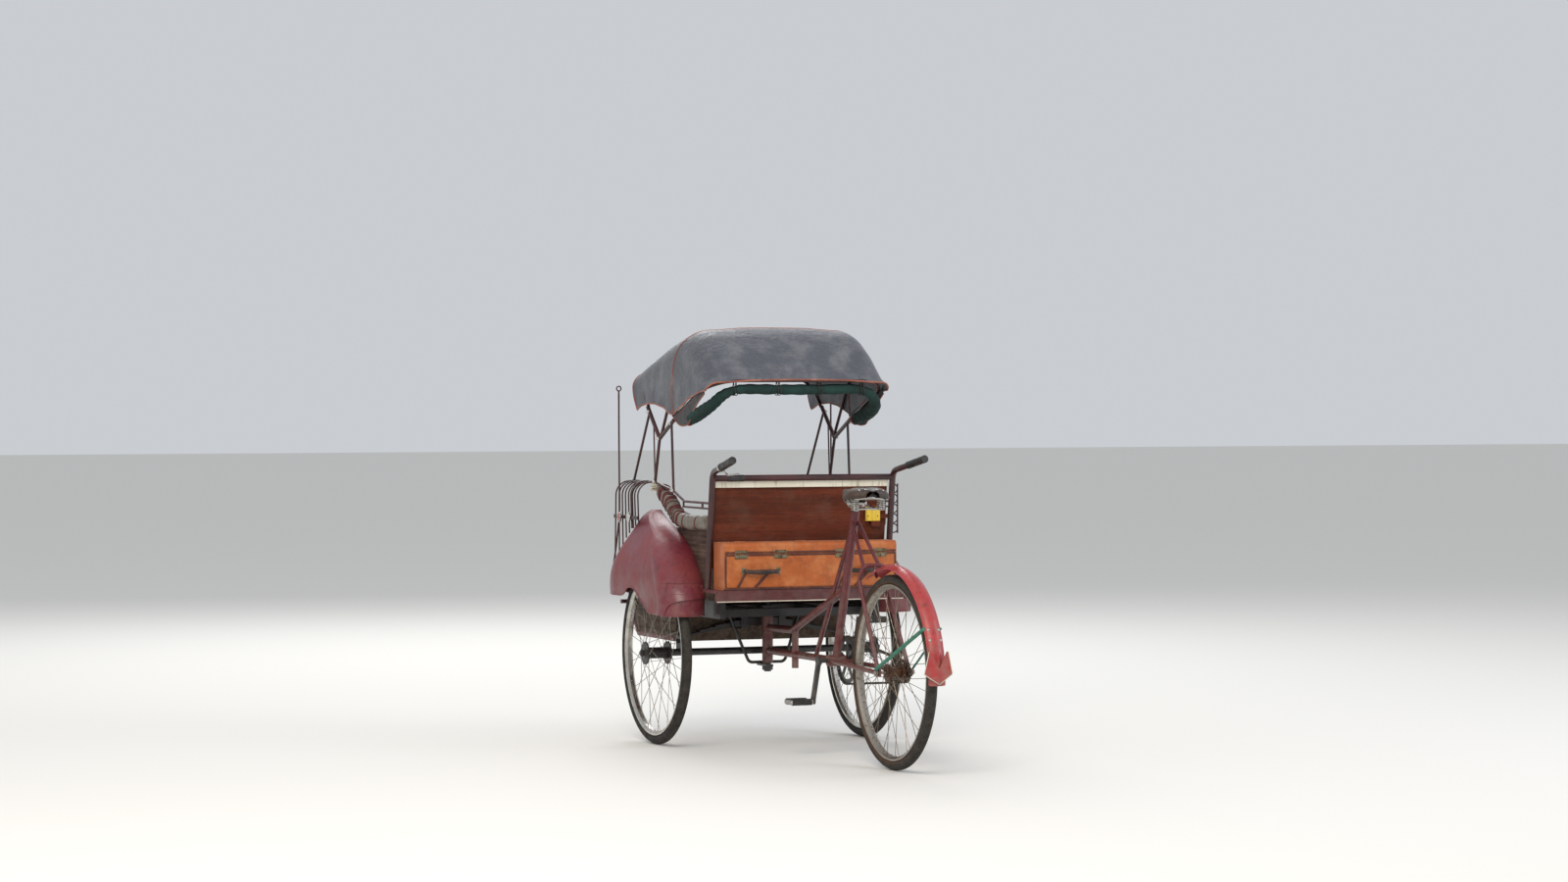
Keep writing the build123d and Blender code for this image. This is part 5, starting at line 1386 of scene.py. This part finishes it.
TUB_FACE = 345.0
TUB_EDGE = ((42, 403), (458, 403), (548, 494))
PLANK_REAR = 38
PLANK_LINES = ((432, 480), (466, 512), (500, 540))
EDGE_BOLTS = (60, 200, 340, 452)
IRON_BOLTS = ((186, 1013), (443, 1013), (250.6, 1288.3), (138, 1185), (5, 1246), (-17, 985))
ROUND_BOLT = (138, 1185)
TAPED_BAR = (-313, -246)
TAPE_TURNS = 9
BAR_PLACE = (-437.0, 1042.0)


RED_LENS = (463, 349, 872)
CLEAR_LENS = (452.5, 272, 873)


def lens(shell, rim, side, place, radius):
    """A round reflector: a domed lens in its shell and a rolled metal ring round it, facing outwards."""
    centre = at(side * place[0], *place[1:])
    dome = [(0, radius * 0.92)] + [
        (0.0035 + 0.0022 * math.cos(t), radius * 0.92 * math.sin(t)) for t in np.linspace(math.pi / 2, 0.06, 9)]
    turned(shell, centre, (side, 0, 0), dome, 40)
    turned(rim, centre, (side, 0, 0), [
        (-0.001, radius * 0.6), (-0.001, radius * 0.97), (0.001, radius), (0.0035, radius), (0.0048, radius * 0.985),
        (0.0052, radius * 0.95), (0.0046, radius * 0.91), (0.0030, radius * 0.9), (0.0005, radius * 0.6)], 40)


class RICKSHAW_OT_reflectors(bpy.types.Operator):
    """Sets the round red and clear reflectors on the cross bars in their metal rings."""

    bl_idname = "rickshaw.reflectors"
    bl_label = "Reflectors"

    def execute(self, context):
        red, clear, rings = Shell(), Shell(), Shell()
        for side in (-1, 1):
            lens(red, rings, side, RED_LENS, 0.019)
            lens(clear, rings, side, CLEAR_LENS, 0.021)
            plate(rings, at(side * 461.2, 349, 871), (0, -side, 0), UP, 0.009, 0.021, 0.002, 0.0018)
            for z in (889.5, 853):
                bolt(rings, at(side * RED_LENS[0], RED_LENS[1], z), (side, 0, 0), 0.0022, 0.002)
            turned(rings, at(side * 450.5, 272, 873), (side, 0, 0),
                   [(0, 0.004), (0, 0.012), (0.003, 0.012), (0.003, 0.004)], 16)
        piece("red_reflectors", red, "cab", "reflectors", "reflectors")
        piece("clear_reflectors", clear, "cab", "clear lens", "reflectors")
        piece("reflector_rings", rings, "cab", "bright", "reflectors", "reflectors")
        return {"FINISHED"}


class RICKSHAW_OT_cab_trim(bpy.types.Operator):
    """Lays the tub's edge strips and plank lines, the push bar's tape and the bolts of the hood irons."""

    bl_idname = "rickshaw.cab_trim"
    bl_label = "Cab trim"

    def execute(self, context):
        strips, seams, irons = Shell(), Shell(), Shell()
        for side in (-1, 1):
            for (y0, z0), (y1, z1) in zip(TUB_EDGE, TUB_EDGE[1:]):
                start, end = at(side * TUB_FACE, y0, z0), at(side * TUB_FACE, y1, z1)
                along = unit(end - start) * -side
                plate(strips, (start + end) / 2, along, np.cross((side, 0, 0), along),
                      np.linalg.norm(end - start) / 2 + 0.004, 0.0085, 0.003, 0.0022, 0.0008)
            for z, front in PLANK_LINES:
                middle = at(side * TUB_FACE, (PLANK_REAR + front) / 2, z)
                plate(seams, middle, (0, -side, 0), UP, (front - PLANK_REAR) / 2 * MM, 0.0011, 0.001, 0.0005, 0.0002)
            for y in EDGE_BOLTS:
                bolt(irons, at(side * (TUB_FACE + 2.2), y, 403), (side, 0, 0), 0.0032, 0.0028)
            for y, z in IRON_BOLTS:
                turned(irons, at(side * 377.5, y, z), (side, 0, 0), [
                    (-0.002, 0.0075), (0.0012, 0.0075), (0.0014, 0.0058), (0.0055, 0.0058), (0.0065, 0.0045),
                    (0.0066, 0.003), (0.0095, 0.003), (0.0101, 0.0021)], 20 if (y, z) == ROUND_BOLT else 6)
        piece("tub_edge_strips", strips, "cab", "cab paint", "rear_sill")
        piece("tub_plank_lines", seams, "cab", "dark gap", "tub_side_left")
        piece("iron_bolts", irons, "cab", "bright", "hood_irons_left")

        sill_low, sill_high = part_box("rear_sill")
        lines = Shell()
        middle = np.array([0, sill_low.y, sill_low.z + 0.003])
        plate(lines, middle, RIGHT, UP, (sill_high.x - sill_low.x) / 2 - 0.002, 0.0017, 0.001, 0.0012)
        piece("sill_line", lines, "cab", "cream", "rear_sill")

        x = np.linspace(*TAPED_BAR, TAPE_TURNS * 14)
        lap = (x - TAPED_BAR[0]) / (TAPED_BAR[1] - TAPED_BAR[0]) * TAPE_TURNS % 1
        tape = Shell().tube(at(x, *BAR_PLACE), 0.0126, AHEAD, sides=28, scale=1 + 0.045 * lap)
        piece("bar_tape", tape, "cab", "rubber", "handle_grips")
        return {"FINISHED"}


# ---------------------------------------------------------------- rear half

GUARD_R = 391.0
GUARD_HALF = 31.0
GUARD_CROWN = 14.0
BEAD_R = 0.0021
GUARD_TURN = (-28.0, 93.0)
GUARD_BOLTS = ((63, -19), (63, 19), (69, -19), (69, 19), (2, 0), (-22, -14), (-22, 14), (84, -20), (84, 20))
HUB_Z = 355.0
CHAIN_X = 45.0
PITCH = 12.7
WHEEL_TEETH = (44, 18)
LINK_HALF = 0.0040
INNER_PLATE, OUTER_PLATE = 0.0031, 0.0046
BRACKET = (-758.0, 363.0)
SEAT_CLAMP = (-954.6, 959.3)


def on_guard(turn, x, out):
    """A place over the mudguard: turn degrees back from the top of the wheel, x across, out beyond its crown."""
    drop = GUARD_CROWN * (x / GUARD_HALF) ** 2
    radius = GUARD_R - drop + out
    angle = math.radians(turn)
    return np.array([x * MM, REAR_Y - radius * MM * math.sin(angle), (HUB_Z + radius * math.cos(angle)) * MM])


class RICKSHAW_OT_mudguard_trim(bpy.types.Operator):
    """Rolls beads along the rear mudguard's edges and sets its bolts."""

    bl_idname = "rickshaw.mudguard_trim"
    bl_label = "Mudguard trim"

    def execute(self, context):
        beads, bolts = Shell(), Shell()
        for side in (-1, 1):
            edge = np.array([on_guard(t, side * (GUARD_HALF - 0.5), -0.8) for t in np.linspace(*GUARD_TURN, 150)])
            beads.tube(edge, BEAD_R, RIGHT, sides=10)
        for end in GUARD_TURN:
            lip = np.array([on_guard(end, x, -0.8) for x in np.linspace(-GUARD_HALF, GUARD_HALF, 21)])
            beads.tube(lip, BEAD_R, UP if end > 0 else AHEAD, sides=10)
        for turn, x in GUARD_BOLTS:
            centre = on_guard(turn, x, 0.3)
            bolt(bolts, centre, centre - on_guard(turn, x, -20), 0.0036, 0.0034)
        piece("mudguard_beads", beads, "rear_half", "guard paint", "rear_mudguard")
        piece("mudguard_bolts", bolts, "rear_half", "bright", "rear_spindle")
        return {"FINISHED"}


def chain_path(steps):
    """steps places at even spacing along the chain's pitch line round both wheels.
    The line is two arcs on the pitch circles and the two straight runs that touch both."""
    front = np.array([ahead(BRACKET[0]), BRACKET[1] * MM])
    back = np.array([REAR_Y, HUB_Z * MM])
    radii = [PITCH * MM / (2 * math.sin(math.pi / teeth)) for teeth in WHEEL_TEETH]
    run = back - front
    tilt = math.acos((radii[0] - radii[1]) / np.linalg.norm(run))
    base = math.atan2(run[1], run[0])
    arcs = [front + radii[0] * np.array([math.cos(t), math.sin(t)])
            for t in np.linspace(base + tilt, base + 2 * math.pi - tilt, 200)]
    arcs += [back + radii[1] * np.array([math.cos(t), math.sin(t)])
             for t in np.linspace(base - tilt, base + tilt, 80)]
    arcs.append(arcs[0])
    return evenly(np.array(arcs), steps + 1)[:-1]


class RICKSHAW_OT_chain(bpy.types.Operator):
    """Lays the roller chain link by link: rollers at the pitch, and inner and outer side plates by turns."""

    bl_idname = "rickshaw.chain"
    bl_label = "Chain"

    def execute(self, context):
        line = chain_path(4000)
        length = np.linalg.norm(line - np.roll(line, 1, axis=0), axis=1).sum()
        count = 2 * int(round(length / (PITCH * MM) / 2))
        pins = chain_path(count)
        links = Shell()
        for number, pin in enumerate(pins):
            after = pins[(number + 1) % count]
            way = np.array([0, *(after - pin)])
            middle = np.array([0, *((after + pin) / 2)])
            place = np.array([CHAIN_X * MM, *pin])
            turned(links, place - [0.0029, 0, 0], RIGHT, [
                (0, 0.0018), (0, 0.0038), (0.0058, 0.0038), (0.0058, 0.0018)], 10)
            turned(links, place - [0.0062, 0, 0], RIGHT, [(0, 0.0017), (0.0124, 0.0017)], 8)
            off = INNER_PLATE if number % 2 else OUTER_PLATE
            for side in (-1, 1):
                centre = np.array([CHAIN_X * MM + side * off, 0, 0]) + middle
                along = unit(way) * side
                plate(links, centre, along, np.cross((side, 0, 0), along), np.linalg.norm(way) / 2 + LINK_HALF,
                      LINK_HALF, 0.0039, 0.0012, 0.0003)
        piece("chain_links", links, "rear_half", "chain", "chain", "chain")
        return {"FINISHED"}


SADDLE_ROWS = (
    # place ahead of the front axle, half width, middle height over the frame, drop of the skirt
    (-1106, 30, 33, 24), (-1090, 66, 39, 34), (-1065, 84, 43, 42), (-1030, 87, 44, 46), (-990, 66, 40, 48),
    (-950, 38, 36, 44), (-910, 26, 34, 40), (-875, 21, 34, 36), (-852, 14, 33, 30), (-844, 6, 30, 26),
)


# Lines of the saddle's frame: across, ahead of the front axle, height over the frame's foot
SPRING = (52, -1060)
SPRING_TURNS = 5.5
SADDLE_STEPS = 33
SADDLE_RAIL = ((52, -1060, -36), (45, -1010, -34), (30, -960, -26), (20, -900, -16), (12, -868, -8))
SADDLE_BRIDGE = ((-58, -1060, -38), (-20, -1063, -36), (20, -1063, -36), (58, -1060, -38))
SADDLE_CANTLE = ((-78, -1040, 4), (-52, -1076, 2), (0, -1098, 6), (52, -1076, 2), (78, -1040, 4))


class RICKSHAW_OT_saddle(bpy.types.Operator):
    """Stretches the saddle's leather over its frame, with its rivets, coil springs, rails and clamp."""

    bl_idname = "rickshaw.saddle"
    bl_label = "Saddle"

    def execute(self, context):
        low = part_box("saddle")[0].z

        def seat(x, y, z):
            return at(x, y, z) + [0, 0, low]

        def run(line, count, side=1):
            return curve_through([seat(side * x, y, z) for x, y, z in line], count)

        turn = np.linspace(-1, 1, SADDLE_STEPS)
        outer, inner = [], []
        for y, half, height, skirt in evenly(curve_through(SADDLE_ROWS, 140), 56):
            for face, gap in ((outer, 0.0), (inner, 3.4)):
                x = (half - gap) * np.sin(turn * math.pi / 2 * 0.98)
                z = height - gap - skirt * np.abs(turn) ** 2.6 - 3 * np.exp(-(turn / 0.22) ** 2)
                face.append(seat(x, y, np.maximum(z, -2)))
        leather = Shell().grid(np.concatenate([np.array(outer), np.array(inner)[:, ::-1]], axis=1))
        metal, rivets = Shell(), Shell()
        t = np.linspace(0, 1, 170)
        swell, wind = 12.5 + 2 * np.sin(math.pi * t), t * SPRING_TURNS * 2 * math.pi
        for side in (-1, 1):
            coil = seat(side * SPRING[0] + swell * np.cos(wind), SPRING[1] + swell * np.sin(wind), -37.5 + 36 * t)
            metal.tube(coil, 0.0021, UP, sides=8)
            metal.tube(run(SADDLE_RAIL, 40, side), 0.0040, RIGHT)
            for y, x, z in ((-1088, 45, 33), (-1093, 22, 36)):
                bolt(rivets, seat(side * x, y, z), (0, -0.35, 1), 0.0042, 0.0016)
        metal.tube(run(SADDLE_BRIDGE, 24), 0.0042, UP, sides=10, flat=0.7)
        metal.tube(run(SADDLE_CANTLE, 60), 0.0050, UP, sides=10, flat=0.5)
        metal.tube(seat(np.linspace(-70, 70, 9), -1060, -1.2), 0.0065, AHEAD, sides=10, flat=0.3)
        for side in (-1, 1):
            for z in (-40.5, -4):
                turned(metal, seat(side * SPRING[0], SPRING[1], z), UP, [
                    (0, 0.003), (0, 0.0165), (0.0020, 0.0165), (0.0024, 0.003)])
        clamp = at(-34, *SEAT_CLAMP)
        turned(metal, clamp, RIGHT, [
            (0, 0.004), (0, 0.0130), (0.003, 0.0150), (0.020, 0.0150), (0.022, 0.0135), (0.046, 0.0135),
            (0.048, 0.0150), (0.065, 0.0150), (0.068, 0.0130), (0.068, 0.004)], 28)
        for side in (-1, 1):
            bolt(metal, clamp + [0.034 + side * 0.0335, 0, 0], (side, 0, 0), 0.0080, 0.0060)
        turned(metal, seat(0, -870, -22), UP, [
            (0, 0.002), (0, 0.0070), (0.006, 0.0070), (0.008, 0.0140), (0.019, 0.0140), (0.021, 0.0100),
            (0.026, 0.0100), (0.026, 0.002)])
        piece("saddle_leather", leather, "rear_half", "saddle", "saddle", "saddle")
        piece("saddle_rivets", rivets, "rear_half", "bright", "saddle_frame")
        piece("saddle_springs", metal, "rear_half", "bright", "saddle_frame", "saddle_frame")
        return {"FINISHED"}


# ---------------------------------------------------------------- fenders

FENDER_ROWS = (
    # height, rear end, front end, bulge outwards, bulge rearwards, length of the rear turn
    (515, -293, 500, 158, 46, 110), (620, -285, 500, 158, 36, 110), (765, -140, 382, 132, 16, 90),
    (832, 0, 312, 94, 8, 70), (872, 115, 276, 68, 4, 42), (905, 185, 236, 30, 2, 14),
)
FENDER_X = 347.0
ARCH_LINE = ((-100, 515), (-63, 527), (-8, 551), (47, 583), (92, 603), (148, 602), (182, 585), (240, 567))


def level_line(z, count):
    """A fender's outline at height z, from the tub behind the wheel to the tub in front, as (x, y, z) in
    millimetres for the left side: a round nose behind, a straight flank, a quarter round in front."""
    rows = np.array(FENDER_ROWS, float)
    rear, front, bulge, nose, turn = (np.interp(z, rows[:, 0], rows[:, k]) for k in range(1, 6))
    end = (front - rear) * 0.28
    places = [(FENDER_X, rear), (FENDER_X + bulge * 0.3, rear - nose * 0.85), (FENDER_X + bulge * 0.6, rear - nose),
              (FENDER_X + bulge * 0.9, rear + turn * 0.3), (FENDER_X + bulge, rear + turn)]
    places += [(FENDER_X + bulge, y) for y in np.linspace(rear + turn, front - end, 8)[1:]]
    places += [(FENDER_X + bulge * math.cos(t), front - end + end * math.sin(t))
               for t in np.linspace(0, math.pi / 2, 9)[1:]]
    line = evenly(np.array(places, float), count)
    return np.column_stack([-line[:, 0], line[:, 1], np.full(count, float(z))])


def snapped(tree, line, side):
    """The line's places moved to the nearest place of the fender's skin."""
    return np.array([tree.find_nearest(Vector(at(side * -x, y, z)))[0] for x, y, z in line])


FENDER_RIVETS = (
    # ahead of the axle, height
    (-180, 712), (-90, 778), (20, 832), (120, 872), (250, 872), (330, 790), (420, 700), (470, 620),
)
REAR_HEM, FRONT_HEM = 516, 568
SKIRT_TOP = 640.0
SKIRT_JOIN = 600.0
SKIRT_FOOT = 515.0


def rear_skirt(tree, side):
    """The rear wall's doubling plate, as a grid of (across, down) places. Down to the join it lies on the fender's
    skin; below it each place slides to its foot by a smooth step, so that the foot runs from the tub's corner
    round to the flank's hem."""
    across = np.linspace(351, 513, 46)

    def skin(x, z):
        start = Vector(at(side * x, -700, z))
        spot = tree.ray_cast(start, Vector(AHEAD))[0]
        return (spot.y - AXLE_Y) / MM

    join = np.array([skin(x, SKIRT_JOIN) for x in across])
    foot_shift = np.interp(across, (across[0], across[-1]), (-295 - join[0], -290 - join[-1]))
    rows = []
    for z in np.linspace(SKIRT_TOP, SKIRT_FOOT, 26):
        if z > SKIRT_JOIN:
            y = np.array([skin(x, z) for x in across])
        else:
            t = (SKIRT_JOIN - z) / (SKIRT_JOIN - SKIRT_FOOT)
            y = join + foot_shift * (3 * t * t - 2 * t**3)
        rows.append(at(side * across, y, z))
    return np.array(rows)


class RICKSHAW_OT_fender_trim(bpy.types.Operator):
    """Doubles the rear wall of each fender with a riveted plate, and rolls the wire into its hem."""

    bl_idname = "rickshaw.fender_trim"
    bl_label = "Fender trim"

    def execute(self, context):
        wires, rivets, skirts = Shell(), Shell(), Shell()
        for side, word in SIDES:
            node = NODES["fender_" + word]
            places = [node.matrix_world @ v.co for v in node.data.vertices]
            tree = BVHTree.FromPolygons(places, [list(p.vertices) for p in node.data.polygons])
            sheet = rear_skirt(tree, side)
            outer, inner = sheet - [0, 0.0011, 0], sheet + [0, 0.0006, 0]
            skirts.grid(np.concatenate([outer, inner[:, ::-1]], axis=1), flip=side > 0)
            back = level_line(REAR_HEM, 260)
            from_flank = int(np.argmax((back[:, 1] > -286) & (back[:, 0] < -500)))
            back = back[from_flank:int(np.argmax(back[:, 1] > -100))]
            arch = curve_through([(-(FENDER_X + 158), y, z + 1) for y, z in ARCH_LINE], 110)
            front = level_line(FRONT_HEM, 260)
            front = front[int(np.argmax(front[:, 1] > 240)):]
            rest = snapped(tree, np.vstack([back[2:], arch, front[:-2]]), side)
            hem = evenly(np.vstack([sheet[-1], rest]), 320)
            for _ in range(3):
                hem[1:-1] = (hem[:-2] + 2 * hem[1:-1] + hem[2:]) / 4
            wires.tube(hem, 0.0027, UP, sides=10)
            crease = sheet[0] - [0, 0.0012, 0]
            wires.tube(crease, 0.0018, UP, sides=10)
            for k in (3, 14, 25, 36):
                bolt(rivets, sheet[3, k] - [0, 0.001, 0], (0, -1, 0), 0.0030, 0.0020)
            for y, z in FENDER_RIVETS:
                spot, normal, _, _ = tree.find_nearest(Vector(at(side * 372, y, z)))
                bolt(rivets, np.array(spot), np.array(normal), 0.0032, 0.0022)
        piece("fender_skirts", skirts, "cab", "cab paint", "fender_left")
        piece("fender_wires", wires, "cab", "cab paint", "fender_left")
        piece("fender_rivets", rivets, "cab", "cab paint", "fender_left")
        return {"FINISHED"}


# ---------------------------------------------------------------- rods, hubs and pedals

WHIP_X = 456
WHIP_R = 0.0036
EYE_R = 9.2
WHIP = ((378, 1372), (376, 1200), (373, 1050), (370, 930), (374, 872), (392, 806), (420, 728), (446, 664))


class RICKSHAW_OT_whips(bpy.types.Operator):
    """Draws the two whip rods with the eye at the top and the clips that hold them to the cross bars."""

    bl_idname = "rickshaw.whips"
    bl_label = "Whip rods"

    def execute(self, context):
        rods = Shell()
        for side in (-1, 1):
            path = curve_through([at(side * WHIP_X, y, z) for y, z in WHIP], 90)
            rods.tube(path, WHIP_R, RIGHT)
            turn = full_turn(40)
            eye = at(side * WHIP_X + EYE_R * np.cos(turn), 378, 1380.5 + EYE_R * np.sin(turn))
            rods.tube(eye, 0.0026, AHEAD, sides=10, closed=True)
            for z in (862, 884):
                turned(rods, at(side * WHIP_X, 372, z), UP, [
                    (-0.003, WHIP_R), (-0.003, 0.0062), (0.003, 0.0062), (0.003, WHIP_R)], 14)
        piece("whip_rods_drawn", rods, "cab", "irons", "whip_rods", "whip_rods")
        return {"FINISHED"}


class RICKSHAW_OT_hub_caps(bpy.types.Operator):
    """Screws the axle nuts, washers and grease caps onto the hubs."""

    bl_idname = "rickshaw.hub_caps"
    bl_label = "Hub caps"

    def execute(self, context):
        for side, word in SIDES:
            hub = f"front_{word}_hub"
            low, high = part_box(hub)
            place = np.array([low.x if side < 0 else high.x, AXLE_Y, AXLE_Z])
            nuts = Shell()
            turned(nuts, place, (side, 0, 0), [
                (-0.004, 0.009), (-0.004, 0.0175), (0.0, 0.018), (0.001, 0.0165), (0.0015, 0.010)], 32)
            piece(f"hub_dust_cap_{word}", nuts, f"front_{word}_wheel", "chassis", hub)
        nuts = Shell()
        for side in (-1, 1):
            place = np.array([side * 0.0715, REAR_Y, 0.355])
            turned(nuts, place, (side, 0, 0), [(-0.002, 0.008), (-0.002, 0.0125), (0.0, 0.0125), (0.0, 0.008)], 24)
            turned(nuts, place, (side, 0, 0), [
                (0, 0.005), (0, 0.0092), (0.007, 0.0092), (0.008, 0.008), (0.0082, 0.005)], 6)
        piece("rear_axle_nuts", nuts, "rear_half", "old rim", "rear_spindle")
        return {"FINISHED"}


BLOCK_AT = 0.0265
BLOCK_HALF = 0.0118
RIB_PITCH = 0.0052
RIB_DEPTH = 0.09


class RICKSHAW_OT_pedals(bpy.types.Operator):
    """Moulds the pedals' ribbed rubber blocks between their end plates, with their bolts."""

    bl_idname = "rickshaw.pedals"
    bl_label = "Pedals"

    def execute(self, context):
        for _, word in SIDES:
            low, high = np.array(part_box("pedal_" + word))
            middle = (low + high) / 2
            blocks, metal = Shell(), Shell()
            width = (high[0] - low[0]) - 0.012
            for way in (-1, 1):
                y = middle[1] + way * BLOCK_AT
                steps = np.linspace(-width / 2, width / 2, 121)
                rib = 1 - RIB_DEPTH * (np.sin(steps / RIB_PITCH * math.pi) > 0.35)
                rib[:2], rib[-2:] = 0.94, 0.94
                path = np.stack(np.broadcast_arrays(middle[0] + steps, y, middle[2]), 1)
                profile = plate_outline(BLOCK_HALF, BLOCK_HALF, 0.003, 4)
                blocks.grid(carried(path, profile, AHEAD, scale=rib))
                for end in (-1, 1):
                    bolt(metal, [middle[0] + end * (width / 2 + 0.0040), y, middle[2]], (end, 0, 0), 0.0032, 0.0022)
            for end in (-1, 1):
                centre = np.array([middle[0] + end * (width / 2 + 0.0012), middle[1], middle[2]])
                plate(metal, centre, (0, end, 0), UP, 0.0385, 0.0088, 0.006, 0.0028, 0.0006)
            turned(metal, [middle[0] - width / 2, middle[1], middle[2]], RIGHT, [
                (0, 0.0065), (0, 0.0105), (width * 0.1, 0.0105), (width * 0.14, 0.0092), (width * 0.86, 0.0092),
                (width * 0.9, 0.0105), (width, 0.0105), (width, 0.0065)], 24)
            piece(f"pedal_rubbers_{word}", blocks, f"{word}_pedal", "rubber", "pedal_" + word, "pedal_" + word)
            piece(f"pedal_metal_{word}", metal, f"{word}_pedal", "bright", "rear_spindle")
        return {"FINISHED"}


FLAP_EDGE = ((0, -16), (55, 20), (37, 100))
FLAP_LEAN = math.radians(10)


class RICKSHAW_OT_flap_hem(bpy.types.Operator):
    """Hems the mud flap with a pale line."""

    bl_idname = "rickshaw.flap_hem"
    bl_label = "Flap hem"

    def execute(self, context):
        hems = Shell()
        for side in (-1, 1):
            path = [np.array([side * x * MM, REAR_Y - (GUARD_R + 7.6 - x * math.tan(FLAP_LEAN)) * MM,
                              (HUB_Z + z) * MM]) for x, z in FLAP_EDGE]
            hems.tube(rounded_path(path, 0.006), 0.0016, AHEAD, sides=8)
        piece("flap_hem", hems, "rear_half", "cream", "mud_flap")
        return {"FINISHED"}


PIECES = (
    RICKSHAW_OT_stage,
    RICKSHAW_OT_frame_finishes,
    RICKSHAW_OT_tyres,
    RICKSHAW_OT_wheel_fittings,
    RICKSHAW_OT_hood,
    RICKSHAW_OT_curtain,
    RICKSHAW_OT_side_flaps,
    RICKSHAW_OT_cushions,
    RICKSHAW_OT_armrests,
    RICKSHAW_OT_trunk,
    RICKSHAW_OT_reflectors,
    RICKSHAW_OT_cab_trim,
    RICKSHAW_OT_fender_trim,
    RICKSHAW_OT_mudguard_trim,
    RICKSHAW_OT_chain,
    RICKSHAW_OT_saddle,
    RICKSHAW_OT_whips,
    RICKSHAW_OT_hub_caps,
    RICKSHAW_OT_pedals,
    RICKSHAW_OT_flap_hem,
)


class RICKSHAW_PT_pieces(bpy.types.Panel):
    """Lists the rickshaw's pieces in the order in which they are made."""

    bl_label = "Rickshaw"
    bl_idname = "RICKSHAW_PT_pieces"
    bl_space_type = "VIEW_3D"
    bl_region_type = "UI"
    bl_category = "Rickshaw"

    def draw(self, context):
        for group in (context.scene.rickshaw_colours, context.scene.rickshaw_sizes):
            for key in group.__annotations__:
                self.layout.prop(group, key)
        for operator in PIECES:
            self.layout.operator(operator.bl_idname)


def register():
    for cls in (RickshawColours, RickshawSizes, *PIECES, RICKSHAW_PT_pieces):
        bpy.utils.register_class(cls)
    bpy.types.Scene.rickshaw_colours = bpy.props.PointerProperty(type=RickshawColours)
    bpy.types.Scene.rickshaw_sizes = bpy.props.PointerProperty(type=RickshawSizes)


def unregister():
    del bpy.types.Scene.rickshaw_sizes
    del bpy.types.Scene.rickshaw_colours
    for cls in reversed((RickshawColours, RickshawSizes, *PIECES, RICKSHAW_PT_pieces)):
        bpy.utils.unregister_class(cls)


def main():
    register()
    for operator in PIECES:
        group, name = operator.bl_idname.split(".")
        getattr(getattr(bpy.ops, group), name)()


if __name__ == "__main__":
    main()
